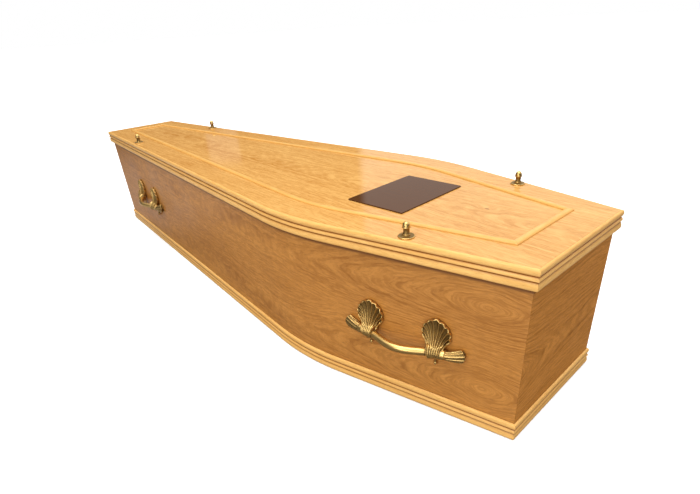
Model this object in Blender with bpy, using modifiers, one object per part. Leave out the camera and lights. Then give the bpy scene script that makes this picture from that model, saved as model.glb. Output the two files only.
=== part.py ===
"""A closed wooden coffin with reeded mouldings, lid fittings and four one-piece cast handles.

Metres, +Z up. +X runs from the narrow foot end to the wide head end, and the left side is +Y.
The origin is on the ground, under the middle of the lid. Every outline is one side line of the
box, moved out or in by an offset, so the mouldings and the bead follow the curved shoulders.
"""

import math

import bmesh
import bpy
from mathutils import Matrix, Vector

# The box, measured outside its boards.
BOX_HALF_LENGTH = 0.970
SHOULDER_X = 0.450
FOOT_HALF_WIDTH = 0.1315
SHOULDER_HALF_WIDTH = 0.2725
HEAD_HALF_WIDTH = 0.1635
SHOULDER_RADIUS = 0.70
ARC_STEPS = 6
HEIGHT = 0.382
WALL = 0.016
FLOOR = 0.018
LID = 0.018

# The gaps that part one piece from the next.
GAP = 0.0003
MITRE_PULL = 0.0002

# The reeded moulding: a bullnose, a narrow reed and a wide reed, from the top down.
MOULDING_HEIGHT = 0.041
MOULDING_DEPTH = 0.005
GROOVE = 0.0040
REEDS = ((0.0000, 0.0138, 0.45, 5), (0.0144, 0.0232, 0.72, 3), (0.0241, 0.0410, 0.66, 5))
REED_FULLNESS = 2.0
LID_OVERHANG = 0.005

# The raised strip on the lid, set in from the lid's edge.
BEAD_INSET = 0.075
BEAD_WIDTH = 0.016
BEAD_HEIGHT = 0.0042
BEAD_STEPS = 8
BEAD_FULLNESS = 2.0

# The name plate, laid by hand a little off the middle and a little turned.
PLATE_X = 0.5615
PLATE_Y = -0.010
PLATE_LENGTH = 0.157
PLATE_WIDTH = 0.222
PLATE_THICKNESS = 0.0025
PLATE_TURN = math.radians(2.2)

# The screw caps on the lid. The middles of the handles are almost below them.
HEAD_STATION = 0.728
FOOT_STATION = -0.622
FINIAL_INSET = 0.024
FLANGE_RADIUS = 0.0165
HUB_RADIUS = 0.0078
STEM_RADIUS = 0.0060
KNOB_RADIUS = 0.0082
FINIAL_HEIGHT = 0.0300
FINIAL_STEPS = 14

# The handle, in its own frame: x along the wall, -y out of the wall, z up from the ground.
# Its middle line bows out between the collars and runs back to the wall at both ends.
HANDLE_SHIFT = 0.0020
GRIP_Z = 0.1600
GRIP_RADIUS = 0.0080
GRIP_SIDES = 10
BOW = 0.0200
BOW_HALF_LENGTH = 0.0850
TAIL = 0.0170
TAIL_HALF_LENGTH = 0.1500
BRACKET_X = 0.0765
COLLAR_HALF_LENGTH = 0.0155
COLLAR_RADIUS = 0.0112
COLLAR_RIDGE = 0.0013
COLLAR_FAN = 0.50
COLLAR_TALL = 0.50
COLLAR_BACK = 0.35
COLLAR_RIDGES = 4
BOSS_END_X = 0.0995
BOSS_RADIUS = 0.0108

# The flared, fluted ends, flattened against the wall.
TASSEL_X = 0.0985
TASSEL_END_X = 0.1305
TASSEL_CROWN = 0.0080
TASSEL_RISE = 0.0040
TASSEL_HEIGHTS = (0.0096, 0.0110, 0.0134, 0.0154)
TASSEL_DEPTHS = (0.0096, 0.0088, 0.0076, 0.0064)
TASSEL_FLUTES = 8
TASSEL_GROOVE = 0.13

# The shell backplate above each collar, a fan of flutes with a scalloped rim.
SHELL_Z = 0.1995
SHELL_RADIUS = 0.0313
SHELL_PEAK = 0.0025
SHELL_SPREAD = math.radians(118)
SHELL_SCALLOP = 0.06
SHELL_FLUTES = 7
SHELL_NECK_Z = 0.1625
SHELL_NECK_HALF = 0.0155
SHELL_OUT = 0.0022
SHELL_RIM_CURL = 0.0036
SHELL_LIFT = 0.0145
SHELL_RIDGE = 0.0018
SHELL_ROWS = 4

# The small drop below each collar, close to the wall.
DROP_Z = 0.1290
DROP_OUT = 0.0050
DROP_RADIUS = 0.0042
DROP_NECK = 0.0020
DROP_TOP_Z = 0.1570
DROP_TOP_RADIUS = 0.0044
DROP_SIDES = 6

# Colour, roughness and metallic value of each finish.
OAK_BOARD = ("oak_board", (0.47, 0.25, 0.09), 0.40, 0.0)
OAK_VENEER = ("oak_veneer", (0.73, 0.45, 0.19), 0.30, 0.0)
PALE_STRIP = ("pale_strip", (0.80, 0.53, 0.22), 0.35, 0.0)
PLAIN_BOARD = ("plain_board", (0.42, 0.30, 0.18), 0.70, 0.0)
BRASS = ("antique_brass", (0.62, 0.45, 0.20), 0.30, 1.0)
PLATE_METAL = ("plate_metal", (0.16, 0.10, 0.08), 0.25, 0.6)


def clear_scene():
    for obj in list(bpy.data.objects):
        bpy.data.objects.remove(obj)


def collection(name):
    made = bpy.data.collections.new(name)
    bpy.context.scene.collection.children.link(made)
    return made


def material(finish):
    name, colour, roughness, metallic = finish
    made = bpy.data.materials.get(name)
    if made is None:
        made = bpy.data.materials.new(name)
        made.use_nodes = True
        shader = made.node_tree.nodes["Principled BSDF"]
        shader.inputs["Base Color"].default_value = (*colour, 1.0)
        shader.inputs["Roughness"].default_value = roughness
        shader.inputs["Metallic"].default_value = metallic
    return made


def place(name, data, finish, home):
    obj = bpy.data.objects.new(name, data)
    data.materials.clear()
    data.materials.append(material(finish))
    home.objects.link(obj)
    return obj


def lerp(start, end, share):
    return start + (end - start) * share


def superellipse(share, peak, fullness):
    """A rounded bulge over 0..1 that rises from 0 to 1 at the peak and falls to 0 again."""
    reach = (peak - share) / peak if share < peak else (share - peak) / (1 - peak)
    return max(0.0, 1 - abs(reach) ** fullness) ** (1 / fullness)


def panel_line(start, end, offset):
    """A straight panel's line moved out by the offset, as a point, a direction and a normal."""
    along = (end - start).normalized()
    outward = Vector((-along.y, along.x))
    return start + outward * offset, along, outward


def side_line(offset, pull=0.0):
    """Points of the left side's line from foot to head, moved out by the offset.

    Its ends are on the mitres with the end lines, and pull draws them back along x."""
    foot = Vector((-BOX_HALF_LENGTH, FOOT_HALF_WIDTH))
    shoulder = Vector((SHOULDER_X, SHOULDER_HALF_WIDTH))
    head = Vector((BOX_HALF_LENGTH, HEAD_HALF_WIDTH))
    foot_on, foot_along, foot_out = panel_line(foot, shoulder, offset)
    head_on, head_along, _ = panel_line(shoulder, head, offset)
    end_x = BOX_HALF_LENGTH + offset
    first = foot_on + foot_along * ((-end_x - foot_on.x) / foot_along.x)
    last = head_on + head_along * ((end_x - head_on.x) / head_along.x)
    first += foot_along * pull
    last -= head_along * pull
    bend = foot_along.angle(head_along)
    tangent = SHOULDER_RADIUS * math.tan(bend / 2)
    centre = shoulder - foot_along * tangent - foot_out * SHOULDER_RADIUS
    start_angle = math.atan2(foot_out.y, foot_out.x)
    arc = []
    for step in range(ARC_STEPS + 1):
        angle = start_angle - bend * step / ARC_STEPS
        spoke = Vector((math.cos(angle), math.sin(angle)))
        arc.append(centre + spoke * (SHOULDER_RADIUS + offset))
    return [first, *arc, last]


def half_width(x, offset=0.0):
    """Half the box's width at x, beyond the curve of the shoulder, grown by the offset."""
    points = side_line(offset)
    for start, end in zip(points, points[1:]):
        if start.x <= x <= end.x:
            return lerp(start.y, end.y, (x - start.x) / (end.x - start.x))
    raise ValueError("x is beyond the ends of the box")


def closed_mesh(name, rings):
    """A mesh through rings of points, one ring after the other, with its ends capped."""
    mesh = bmesh.new()
    rows = [[mesh.verts.new(point) for point in ring] for ring in rings]
    for row, after in zip(rows, rows[1:]):
        for here in range(len(row)):
            there = (here + 1) % len(row)
            mesh.faces.new((row[here], row[there], after[there], after[here]))
    mesh.faces.new(rows[0])
    mesh.faces.new(rows[-1])
    bmesh.ops.recalc_face_normals(mesh, faces=mesh.faces)
    data = bpy.data.meshes.new(name)
    mesh.to_mesh(data)
    mesh.free()
    return data


def side_strip(name, section, side, finish, home):
    """A strip along one long side. Its section is a list of offsets and heights."""
    lines = [side_line(offset, MITRE_PULL) for offset, _ in section]
    rings = []
    for station in range(ARC_STEPS + 3):
        ring = []
        for line, (_, height) in zip(lines, section):
            ring.append((line[station].x, side * line[station].y, height))
        rings.append(ring)
    return place(name, closed_mesh(name, rings), finish, home)


def end_strip(name, section, end, finish, home):
    """A strip across the foot (end -1) or the head (end 1), mitred to the side strips."""
    rings = []
    for side in (-1, 1):
        ring = []
        for offset, height in section:
            corner = side_line(offset)[0 if end < 0 else -1]
            ring.append((corner.x, side * (corner.y - MITRE_PULL), height))
        rings.append(ring)
    return place(name, closed_mesh(name, rings), finish, home)


def four_strips(kind, section, finish, home):
    side_strip(kind + "_right", section, -1, finish, home)
    side_strip(kind + "_left", section, 1, finish, home)
    end_strip(kind + "_head", section, 1, finish, home)
    end_strip(kind + "_foot", section, -1, finish, home)


def flat_board(name, offset, bottom, top, finish, home):
    """A board of the box's own outline, moved out by the offset."""
    outline = side_line(offset)
    points = outline + [Vector((point.x, -point.y)) for point in reversed(outline)]
    curve = bpy.data.curves.new(name, "CURVE")
    curve.dimensions = "2D"
    curve.fill_mode = "BOTH"
    curve.extrude = (top - bottom) / 2
    spline = curve.splines.new("POLY")
    spline.points.add(len(points) - 1)
    for spot, point in zip(spline.points, points):
        spot.co = (point.x, point.y, 0.0, 1.0)
    spline.use_cyclic_u = True
    board = place(name, curve, finish, home)
    board.location.z = (top + bottom) / 2
    return board


def box_section(inner, outer, bottom, top):
    return [(inner, top), (outer, top), (outer, bottom), (inner, bottom)]


def moulding_section(inner, top):
    """The reeded section, whose back is on the inner offset."""
    section = [(inner, top)]
    for start, end, peak, steps in REEDS:
        for step in range(steps + 1):
            share = (1 - math.cos(math.pi * step / steps)) / 2
            bulge = superellipse(share, peak, REED_FULLNESS)
            proud = MOULDING_DEPTH - GROOVE * (1 - bulge)
            section.append((inner + proud, top - lerp(start, end, share)))
    section.append((inner, top - MOULDING_HEIGHT))
    return section


def bead_section(outer, bottom):
    """A low strip with a rounded top, whose outer foot is on the outer offset."""
    section = []
    for step in range(BEAD_STEPS + 1):
        share = (1 - math.cos(math.pi * step / BEAD_STEPS)) / 2
        rise = BEAD_HEIGHT * superellipse(share, 0.5, BEAD_FULLNESS)
        section.append((outer - BEAD_WIDTH * share, bottom + rise))
    return section


def build_box(home):
    wall_top = HEIGHT - LID - GAP
    flat_board("floor_board", -WALL - GAP, 0.0, FLOOR, PLAIN_BOARD, home)
    section = box_section(-WALL, 0.0, 0.0, wall_top)
    side_strip("side_board_right", section, -1, OAK_BOARD, home)
    side_strip("side_board_left", section, 1, OAK_BOARD, home)
    end_strip("end_board_head", section, 1, OAK_BOARD, home)
    end_strip("end_board_foot", section, -1, OAK_BOARD, home)
    four_strips("base_moulding", moulding_section(GAP, MOULDING_HEIGHT), PALE_STRIP, home)


def build_lid(home):
    flat_board("lid_board", LID_OVERHANG - GAP, HEIGHT - LID, HEIGHT, OAK_VENEER, home)
    four_strips("lid_moulding", moulding_section(LID_OVERHANG, HEIGHT), PALE_STRIP, home)
    edge = LID_OVERHANG + MOULDING_DEPTH
    four_strips("lid_bead", bead_section(edge - BEAD_INSET, HEIGHT + GAP), PALE_STRIP, home)


def build_name_plate(home):
    bpy.ops.mesh.primitive_cube_add(size=1.0)
    plate = bpy.context.object
    plate.name = "name_plate"
    plate.data.transform(Matrix.Diagonal((PLATE_LENGTH, PLATE_WIDTH, PLATE_THICKNESS, 1.0)))
    plate.location = (PLATE_X, PLATE_Y, HEIGHT + GAP + PLATE_THICKNESS / 2)
    plate.rotation_euler.z = PLATE_TURN
    plate.data.materials.append(material(PLATE_METAL))
    for owner in list(plate.users_collection):
        owner.objects.unlink(plate)
    home.objects.link(plate)


def finial_profile():
    """Radius and height of a screw cap, from its top down to its flange's edge."""
    profile = [(0.0, FINIAL_HEIGHT)]
    knob_foot = 0.68 * FINIAL_HEIGHT
    for step in range(1, 4):
        angle = math.pi / 2 * step / 3
        rise = (FINIAL_HEIGHT - knob_foot) * math.cos(angle)
        profile.append((0.92 * KNOB_RADIUS * math.sin(angle), knob_foot + rise))
    profile.append((KNOB_RADIUS, 0.64 * FINIAL_HEIGHT))
    profile.append((KNOB_RADIUS, 0.59 * FINIAL_HEIGHT))
    profile.append((STEM_RADIUS, 0.54 * FINIAL_HEIGHT))
    profile.append((STEM_RADIUS, 0.22 * FINIAL_HEIGHT))
    profile.append((HUB_RADIUS, 0.17 * FINIAL_HEIGHT))
    profile.append((1.15 * HUB_RADIUS, 0.08 * FINIAL_HEIGHT))
    profile.append((0.92 * FLANGE_RADIUS, 0.08 * FINIAL_HEIGHT))
    profile.append((FLANGE_RADIUS, 0.04 * FINIAL_HEIGHT))
    profile.append((FLANGE_RADIUS, 0.0))
    profile.append((0.0, 0.0))
    return profile


def turned(name, profile, steps, finish, home):
    """A turned piece: its profile, of radius and height, swept round +Z."""
    data = bpy.data.meshes.new(name)
    points = [(radius, 0.0, height) for radius, height in profile]
    edges = [(index, index + 1) for index in range(len(points) - 1)]
    data.from_pydata(points, edges, [])
    obj = place(name, data, finish, home)
    screw = obj.modifiers.new("Turn", "SCREW")
    screw.steps = steps
    screw.render_steps = steps
    screw.use_merge_vertices = True
    screw.merge_threshold = 0.00005
    screw.use_smooth_shade = True
    return obj


def build_finials(home):
    for end, station in (("head", HEAD_STATION), ("foot", FOOT_STATION)):
        reach = half_width(station, LID_OVERHANG + MOULDING_DEPTH) - FINIAL_INSET
        for side, sign in (("right", -1), ("left", 1)):
            name = "finial_" + side + "_" + end
            finial = turned(name, finial_profile(), FINIAL_STEPS, BRASS, home)
            finial.location = (station, sign * reach, HEIGHT + GAP)


def grip_out(x):
    """How far the bar's middle line stands out of the wall."""
    out = TAIL * (1 - abs(x / TAIL_HALF_LENGTH) ** 3)
    if abs(x) < BOW_HALF_LENGTH:
        out += BOW * math.cos(math.pi / 2 * x / BOW_HALF_LENGTH) ** 2
    return out


def grip_frame(x):
    """The middle line's point at x, and the level direction square to the line there."""
    step = 0.001
    slope = (grip_out(x + step) - grip_out(x - step)) / (2 * step)
    return Vector((x, -grip_out(x), GRIP_Z)), Vector((slope, 1.0, 0.0)).normalized()


def bar_stations():
    """Half of the bar, from its middle to the end of its boss, as (x, radius)."""
    collar_start = BRACKET_X - COLLAR_HALF_LENGTH
    collar_end = BRACKET_X + COLLAR_HALF_LENGTH
    stations = [(collar_start * step / 4, GRIP_RADIUS) for step in range(4)]
    stations.append((collar_start - GAP, GRIP_RADIUS))
    for ridge in range(COLLAR_RIDGES):
        for share, rise in ((0.0, 0.0), (0.5, COLLAR_RIDGE)):
            x = collar_start + 2 * COLLAR_HALF_LENGTH * (ridge + share) / COLLAR_RIDGES
            stations.append((x, COLLAR_RADIUS + rise))
    stations.append((collar_end, COLLAR_RADIUS))
    stations.append((collar_end + GAP, BOSS_RADIUS))
    stations.append((BOSS_END_X, BOSS_RADIUS))
    return stations


def bar_ring(x, radius):
    """One cross section of the bar.

    Those of the collars draw together at the bottom, and rise and lean to the shell on top."""
    side = 1 if x > 0 else -1
    from_bracket = x - side * BRACKET_X
    in_collar = abs(from_bracket) <= COLLAR_HALF_LENGTH
    ring = []
    for corner in range(GRIP_SIDES):
        angle = 2 * math.pi * corner / GRIP_SIDES
        upper, lower = max(0.0, math.sin(angle)), min(0.0, math.sin(angle))
        fan, tall, back = 0.0, 0.0, 0.0
        if in_collar:
            fan = COLLAR_FAN * from_bracket * lower
            tall = COLLAR_TALL * upper
            back = COLLAR_BACK * upper ** 2
        middle, across = grip_frame(x + fan)
        point = middle + across * (radius * (math.cos(angle) + back))
        point.z += radius * (math.sin(angle) + tall)
        point.y = min(point.y, -GAP)
        ring.append(point)
    return ring


def bar_mesh():
    half = bar_stations()
    rings = [bar_ring(-x, radius) for x, radius in reversed(half[1:])]
    rings += [bar_ring(x, radius) for x, radius in half]
    return closed_mesh("bar", rings)


def tassel_mesh(side):
    """One flared end: fluted, flattened against the wall, with a rounded end."""
    rings = []
    last = len(TASSEL_HEIGHTS) - 1
    for row, (half_height, half_depth) in enumerate(zip(TASSEL_HEIGHTS, TASSEL_DEPTHS)):
        share = row / last
        ring = []
        for corner in range(2 * TASSEL_FLUTES):
            angle = 2 * math.pi * corner / (2 * TASSEL_FLUTES)
            reach = 1 - TASSEL_GROOVE * share ** 0.5 * (corner % 2)
            crown = TASSEL_CROWN * share ** 2 * math.cos(angle) ** 2
            x = lerp(TASSEL_X, TASSEL_END_X, share) + crown * reach
            middle, across = grip_frame(side * x)
            point = middle + across * (reach * half_depth * math.cos(angle))
            point.z += reach * half_height * math.sin(angle) + TASSEL_RISE * share ** 2
            point.y = min(point.y, -GAP)
            ring.append(point)
        rings.append(ring)
    return closed_mesh("tassel", rings)


def shell_point(across, up):
    """A point of the shell's front, from neck (up 0) to rim (up 1), across -1 to 1."""
    ridge = abs(math.sin(SHELL_FLUTES * math.pi * (across + 1) / 2))
    angle = SHELL_SPREAD * across
    radius = SHELL_RADIUS + SHELL_PEAK * math.exp(-((angle / 0.35) ** 2))
    radius *= 1 - SHELL_SCALLOP * (1 - ridge)
    x = lerp(SHELL_NECK_HALF * across, radius * math.sin(angle), up ** 1.6)
    z = lerp(SHELL_NECK_Z, SHELL_Z + radius * math.cos(angle), up)
    lift = SHELL_LIFT * (1 - up) ** 2 * (1 - 0.5 * across ** 4)
    curl = SHELL_RIM_CURL * max(up ** 4, across ** 8 * up)
    out = SHELL_OUT + lift + curl + SHELL_RIDGE * ridge * min(1.0, 0.4 + up)
    return Vector((x, -out, z))


def shell_mesh(centre):
    """A closed fan: a fluted front over a flat back."""
    mesh = bmesh.new()
    columns = 2 * SHELL_FLUTES
    front = []
    for row in range(SHELL_ROWS + 1):
        line = []
        for column in range(columns + 1):
            point = shell_point(2 * column / columns - 1, row / SHELL_ROWS)
            line.append(mesh.verts.new(point + Vector((centre, 0, 0))))
        front.append(line)
    for lower, upper in zip(front, front[1:]):
        for column in range(columns):
            corners = (lower[column], lower[column + 1], upper[column + 1], upper[column])
            mesh.faces.new(corners)
    border = front[0] + [line[-1] for line in front[1:]]
    border += front[-1][-2::-1] + [line[0] for line in front[-2:0:-1]]
    back = [mesh.verts.new((spot.co.x, -GAP, spot.co.z)) for spot in border]
    for here in range(len(border)):
        there = (here + 1) % len(border)
        mesh.faces.new((border[there], border[here], back[here], back[there]))
    mesh.faces.new(back)
    bmesh.ops.recalc_face_normals(mesh, faces=mesh.faces)
    data = bpy.data.meshes.new("shell")
    mesh.to_mesh(data)
    mesh.free()
    return data


def drop_profile():
    """The small drop, from inside the collar down to its lowest point."""
    profile = [(0.0, DROP_TOP_Z), (DROP_TOP_RADIUS, DROP_TOP_Z)]
    start = math.asin(DROP_NECK / DROP_RADIUS)
    for step in range(4):
        angle = lerp(start, math.pi, step / 3)
        profile.append((DROP_RADIUS * math.sin(angle), DROP_Z + DROP_RADIUS * math.cos(angle)))
    profile[-1] = (0.0, DROP_Z - DROP_RADIUS)
    return profile


def handle_mesh(helpers):
    """The whole casting in its own frame: its bar, ends, shells and drops joined in one body."""
    bar = place("bar", bar_mesh(), BRASS, helpers)
    for side in (-1, 1):
        tassel = place("tassel", tassel_mesh(side), BRASS, helpers)
        shell = place("shell", shell_mesh(side * BRACKET_X), BRASS, helpers)
        drop = turned("drop", drop_profile(), DROP_SIDES, BRASS, helpers)
        drop.location = (side * BRACKET_X, -DROP_OUT, 0.0)
        for piece in (tassel, shell, drop):
            union = bar.modifiers.new("Join", "BOOLEAN")
            union.operation = "UNION"
            union.solver = "EXACT"
            union.object = piece
    bpy.context.view_layer.update()
    graph = bpy.context.evaluated_depsgraph_get()
    data = bpy.data.meshes.new_from_object(bar.evaluated_get(graph))
    data.name = "handle"
    for obj in list(helpers.objects):
        bpy.data.objects.remove(obj)
    return data


def wall_station(station, side):
    """The point of the side board's outer face at a station, and the angle of its panel."""
    points = side_line(0.0)
    start, end = (points[-2], points[-1]) if station > SHOULDER_X else (points[0], points[1])
    along = end - start
    share = (station - start.x) / along.x
    point = start + along * share
    angle = math.atan2(along.y, along.x)
    if side > 0:
        return Vector((point.x, point.y, 0.0)), math.pi + angle
    return Vector((point.x, -point.y, 0.0)), -angle


def build_handles(home, helpers):
    data = handle_mesh(helpers)
    for end, station in (("head", HEAD_STATION), ("foot", FOOT_STATION)):
        for side, sign in (("right", -1), ("left", 1)):
            handle = place("handle_" + side + "_" + end, data, BRASS, home)
            middle = station + HANDLE_SHIFT
            handle.location, handle.rotation_euler.z = wall_station(middle, sign)


def main():
    clear_scene()
    home = collection("wooden_coffin")
    helpers = collection("helpers")
    helpers.hide_render = True
    build_box(home)
    build_lid(home)
    build_name_plate(home)
    build_finials(home)
    build_handles(home, helpers)


main()
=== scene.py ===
# %% [markdown]
# # Dressing a closed oak coffin
#
# The solids of this coffin are already packed as a fixed frame, in metres, with +Z up and +X from
# the narrow foot to the wide head. This lesson keeps their places and sizes, and makes the finer
# pieces and the finishes that show: bent oak boards, reeded mouldings, a raised bead, a name
# plate, turned screw caps and cast handles. Loading comes first, and each solid that gets a
# finer piece is hidden.

# %% Load the frame
import math

import bmesh
import bpy
import numpy as np
from mathutils import Matrix, Vector


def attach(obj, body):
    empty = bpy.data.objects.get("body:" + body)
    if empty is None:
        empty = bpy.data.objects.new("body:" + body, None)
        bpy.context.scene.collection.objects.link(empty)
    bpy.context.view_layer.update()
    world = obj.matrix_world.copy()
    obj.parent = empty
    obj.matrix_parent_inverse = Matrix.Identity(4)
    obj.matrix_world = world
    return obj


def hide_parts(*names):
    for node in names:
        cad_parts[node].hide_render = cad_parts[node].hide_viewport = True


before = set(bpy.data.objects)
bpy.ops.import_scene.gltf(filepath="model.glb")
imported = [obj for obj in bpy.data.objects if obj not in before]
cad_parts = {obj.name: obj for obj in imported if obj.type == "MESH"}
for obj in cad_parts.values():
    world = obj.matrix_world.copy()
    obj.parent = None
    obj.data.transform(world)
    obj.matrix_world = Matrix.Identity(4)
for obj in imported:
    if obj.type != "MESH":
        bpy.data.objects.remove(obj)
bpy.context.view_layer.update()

# %% [markdown]
# ## The camera
#
# The picture was taken from near the head end, a little above the lid. A camera can be aimed by
# eye, but here its place was worked out from the box's own corners, whose sizes are known. The
# four numbers of the lens are its focal length in pixels and the pixel that it points at, and the
# shift brings that pixel off the middle of the frame, as a cropped picture has it.

# %% Place the camera
PICTURE_WIDTH, PICTURE_HEIGHT = 700, 494
FOCAL_PIXELS = 472.042
AIM_X, AIM_Y = 364.914, 295.069


def placed(name, data):
    """A new object in the scene that shows the data."""
    made = bpy.data.objects.new(name, data)
    bpy.context.scene.collection.objects.link(made)
    return made


camera_data = bpy.data.cameras.new("camera")
camera_data.sensor_fit = "HORIZONTAL"
camera_data.sensor_width = 36.0
camera_data.lens = 36.0 * FOCAL_PIXELS / PICTURE_WIDTH
camera_data.shift_x = -(AIM_X - PICTURE_WIDTH / 2) / PICTURE_WIDTH
camera_data.shift_y = (AIM_Y - PICTURE_HEIGHT / 2) / PICTURE_WIDTH
camera_data.clip_end = 200.0
camera = placed("camera", camera_data)

eye = Vector((1.26235433, -0.81702847, 0.7319734))
to_right = Vector((0.70463306, 0.70787977, -0.0489744))
to_down = Vector((0.32597157, -0.38423635, -0.86377368))
to_front = Vector((-0.63026565, 0.59267923, -0.50149431))
turn = Matrix((to_right, -to_down, -to_front)).transposed()
camera.matrix_world = Matrix.Translation(eye) @ turn.to_4x4()
bpy.context.scene.camera = camera
print("lens", round(camera_data.lens, 2), "mm")

# %% [markdown]
# ## Small helpers for node trees
#
# Shader and geometry trees are built from the same few moves: add a node, set it, and link its
# inputs. Writing those moves once keeps each recipe short enough to read as a recipe.

# %% Node helpers
def add(tree, kind, inputs=None, **settings):
    """Adds a node. Each input is a value or another node's output, by name or by number."""
    made = tree.nodes.new(kind)
    for name, value in settings.items():
        setattr(made, name, value)
    for key, value in (inputs or {}).items():
        if isinstance(value, bpy.types.NodeSocket):
            tree.links.new(value, made.inputs[key])
        else:
            made.inputs[key].default_value = value
    return made


def calculate(tree, operation, *values):
    made = add(tree, "ShaderNodeMath", dict(enumerate(values)), operation=operation)
    return made.outputs[0]


def calculate_vector(tree, operation, *values):
    made = add(tree, "ShaderNodeVectorMath", dict(enumerate(values)), operation=operation)
    return made.outputs[0]


def vector(tree, **parts):
    """A vector from the parts that are given, X, Y or Z. The others are 0."""
    return add(tree, "ShaderNodeCombineXYZ", parts).outputs[0]


def axes(tree, vector):
    return add(tree, "ShaderNodeSeparateXYZ", {0: vector}).outputs


def scaled(tree, vector, factor):
    inputs = {0: vector, "Scale": factor}
    return add(tree, "ShaderNodeVectorMath", inputs, operation="SCALE").outputs[0]


def ease(tree, value, low, high, start=0.0, end=1.0):
    """Carries low..high over to start..end with a soft foot and shoulder, and stops there."""
    inputs = {0: value, 1: low, 2: high, 3: start, 4: end}
    made = add(tree, "ShaderNodeMapRange", inputs, interpolation_type="SMOOTHSTEP")
    return made.outputs[0]


def blend(tree, share, under, over, kind="MIX"):
    inputs = {0: share, 6: under, 7: over}
    made = add(tree, "ShaderNodeMix", inputs, data_type="RGBA", blend_type=kind)
    return made.outputs[2]


def noise(tree, place, stretch, detail=2.0, roughness=0.5):
    """Noise whose cells are 1 / stretch metres long on each axis."""
    inputs = {"Vector": calculate_vector(tree, "MULTIPLY", place, stretch), "Scale": 1.0}
    inputs.update({"Detail": detail, "Roughness": roughness})
    return add(tree, "ShaderNodeTexNoise", inputs).outputs["Fac"]


def sway(tree, place, stretch, detail=2.0):
    """The same noise about 0, from -0.5 to 0.5."""
    return calculate(tree, "SUBTRACT", noise(tree, place, stretch, detail), 0.5)


def shader_group(name, inputs, outputs):
    """An empty shader node group with named sockets, and its two end nodes."""
    tree = bpy.data.node_groups.new(name, "ShaderNodeTree")
    for socket, value in inputs.items():
        kind = "NodeSocketFloat" if isinstance(value, float) else "NodeSocketVector"
        made = tree.interface.new_socket(socket, in_out="INPUT", socket_type=kind)
        made.default_value = value
    for socket in outputs:
        tree.interface.new_socket(socket, in_out="OUTPUT", socket_type="NodeSocketFloat")
    return tree, tree.nodes.new("NodeGroupInput").outputs, tree.nodes.new("NodeGroupOutput")


def deliver(tree, end, outputs):
    for socket, value in outputs.items():
        tree.links.new(value, end.inputs[socket])
    print("group", tree.name, "has", len(tree.nodes), "nodes")


# %% [markdown]
# ## The figure of oak
#
# Sawn oak shows the tree's growth rings. Close to the heart of the log they come out as nested
# arches, and further off they run in nearly straight lines. One rule gives both, so nothing is
# drawn by hand: a point's distance from the heart. The heart touches the board at a tip and
# sinks below it on both sides, down to a depth, so each ring closes where the heart lies as deep
# as the ring is wide. Wide veneers are often two leaves opened like a book, which is what the
# Leaves input does about the joint between them. No tree is regular, so the heart drifts, the
# rings ripple and a knot pushes them aside. Every wood here uses this one group with its own
# numbers.

# %% Distance from the heart
DRIFT_STRETCH = (3.4, 8.0, 8.0)
TIP_ROUNDING, TIP_LEVEL = 0.02, 0.0195
DEPTH_BLEND = 0.0012
KNOT_STRETCH = (0.45, 1.0, 0.0)
KNOT_REACH, KNOT_PUSH = 0.022, 0.008
RIPPLE_STRETCH, RIPPLE = (12.0, 36.0, 36.0), 0.0090

figure, given, figure_end = shader_group(
    "oak_figure",
    {"Place": (0.0, 0.0, 0.0), "Leaves": 0.0, "Joint": 0.0, "Heart": 0.0, "Depth": 0.05,
     "Opening": 0.1, "Tip": 9.0, "Ring Width": 0.008, "Wander": 0.02,
     "Knot": (0.0, 9.0, 0.0), "Fleck Width": 0.0022},
    ("Rings", "Streaks", "Flecks", "Pores", "Cloud", "Knot Heart", "Relief"),
)
spot = axes(figure, given["Place"])
across = calculate(figure, "SUBTRACT", spot["Y"], given["Joint"])
fold = calculate(figure, "SUBTRACT", calculate(figure, "ABSOLUTE", across), across)
fold = calculate(figure, "MULTIPLY", fold, given["Leaves"])
across = calculate(figure, "SUBTRACT", calculate(figure, "ADD", across, fold), given["Heart"])
drift = sway(figure, given["Place"], DRIFT_STRETCH)
across = calculate(figure, "MULTIPLY_ADD", drift, given["Wander"], across)

past_tip = calculate(figure, "SUBTRACT", spot["X"], given["Tip"])
past_tip = calculate(figure, "MULTIPLY_ADD", past_tip, past_tip, TIP_ROUNDING ** 2)
past_tip = calculate(figure, "SUBTRACT", calculate(figure, "SQRT", past_tip), TIP_LEVEL)
opened = calculate(figure, "MULTIPLY", given["Opening"], given["Opening"])
opened = calculate(figure, "MULTIPLY", past_tip, opened)
deepest = calculate(figure, "MULTIPLY", given["Depth"], given["Depth"])
depth = calculate(figure, "SMOOTH_MIN", opened, deepest, DEPTH_BLEND)
away = calculate(figure, "SQRT", calculate(figure, "MULTIPLY_ADD", across, across, depth))

to_knot = calculate_vector(figure, "SUBTRACT", given["Place"], given["Knot"])
to_knot = calculate_vector(figure, "MULTIPLY", to_knot, KNOT_STRETCH)
knot_gap = add(figure, "ShaderNodeVectorMath", {0: to_knot}, operation="LENGTH").outputs["Value"]
away = calculate(figure, "ADD", away, ease(figure, knot_gap, 0.0, KNOT_REACH, KNOT_PUSH, 0.0))
ripple = sway(figure, given["Place"], RIPPLE_STRETCH, 3.0)
away = calculate(figure, "MULTIPLY_ADD", ripple, RIPPLE, away)
print("the distance from the heart takes", len(figure.nodes), "nodes")

# %% [markdown]
# ## Rings, streaks and pores
#
# A growth ring darkens slowly and ends sharply. Rings are uneven, wider about the heart and
# fainter in some stretches, so the distance is counted in rings with those faults built in.
# Along the rings run long streaks and short pale flecks, where the rays of the log are cut, and
# along the board lie the pores and the fibres. All of these are noise, and differ only in how
# far it is drawn out along the grain.

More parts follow.
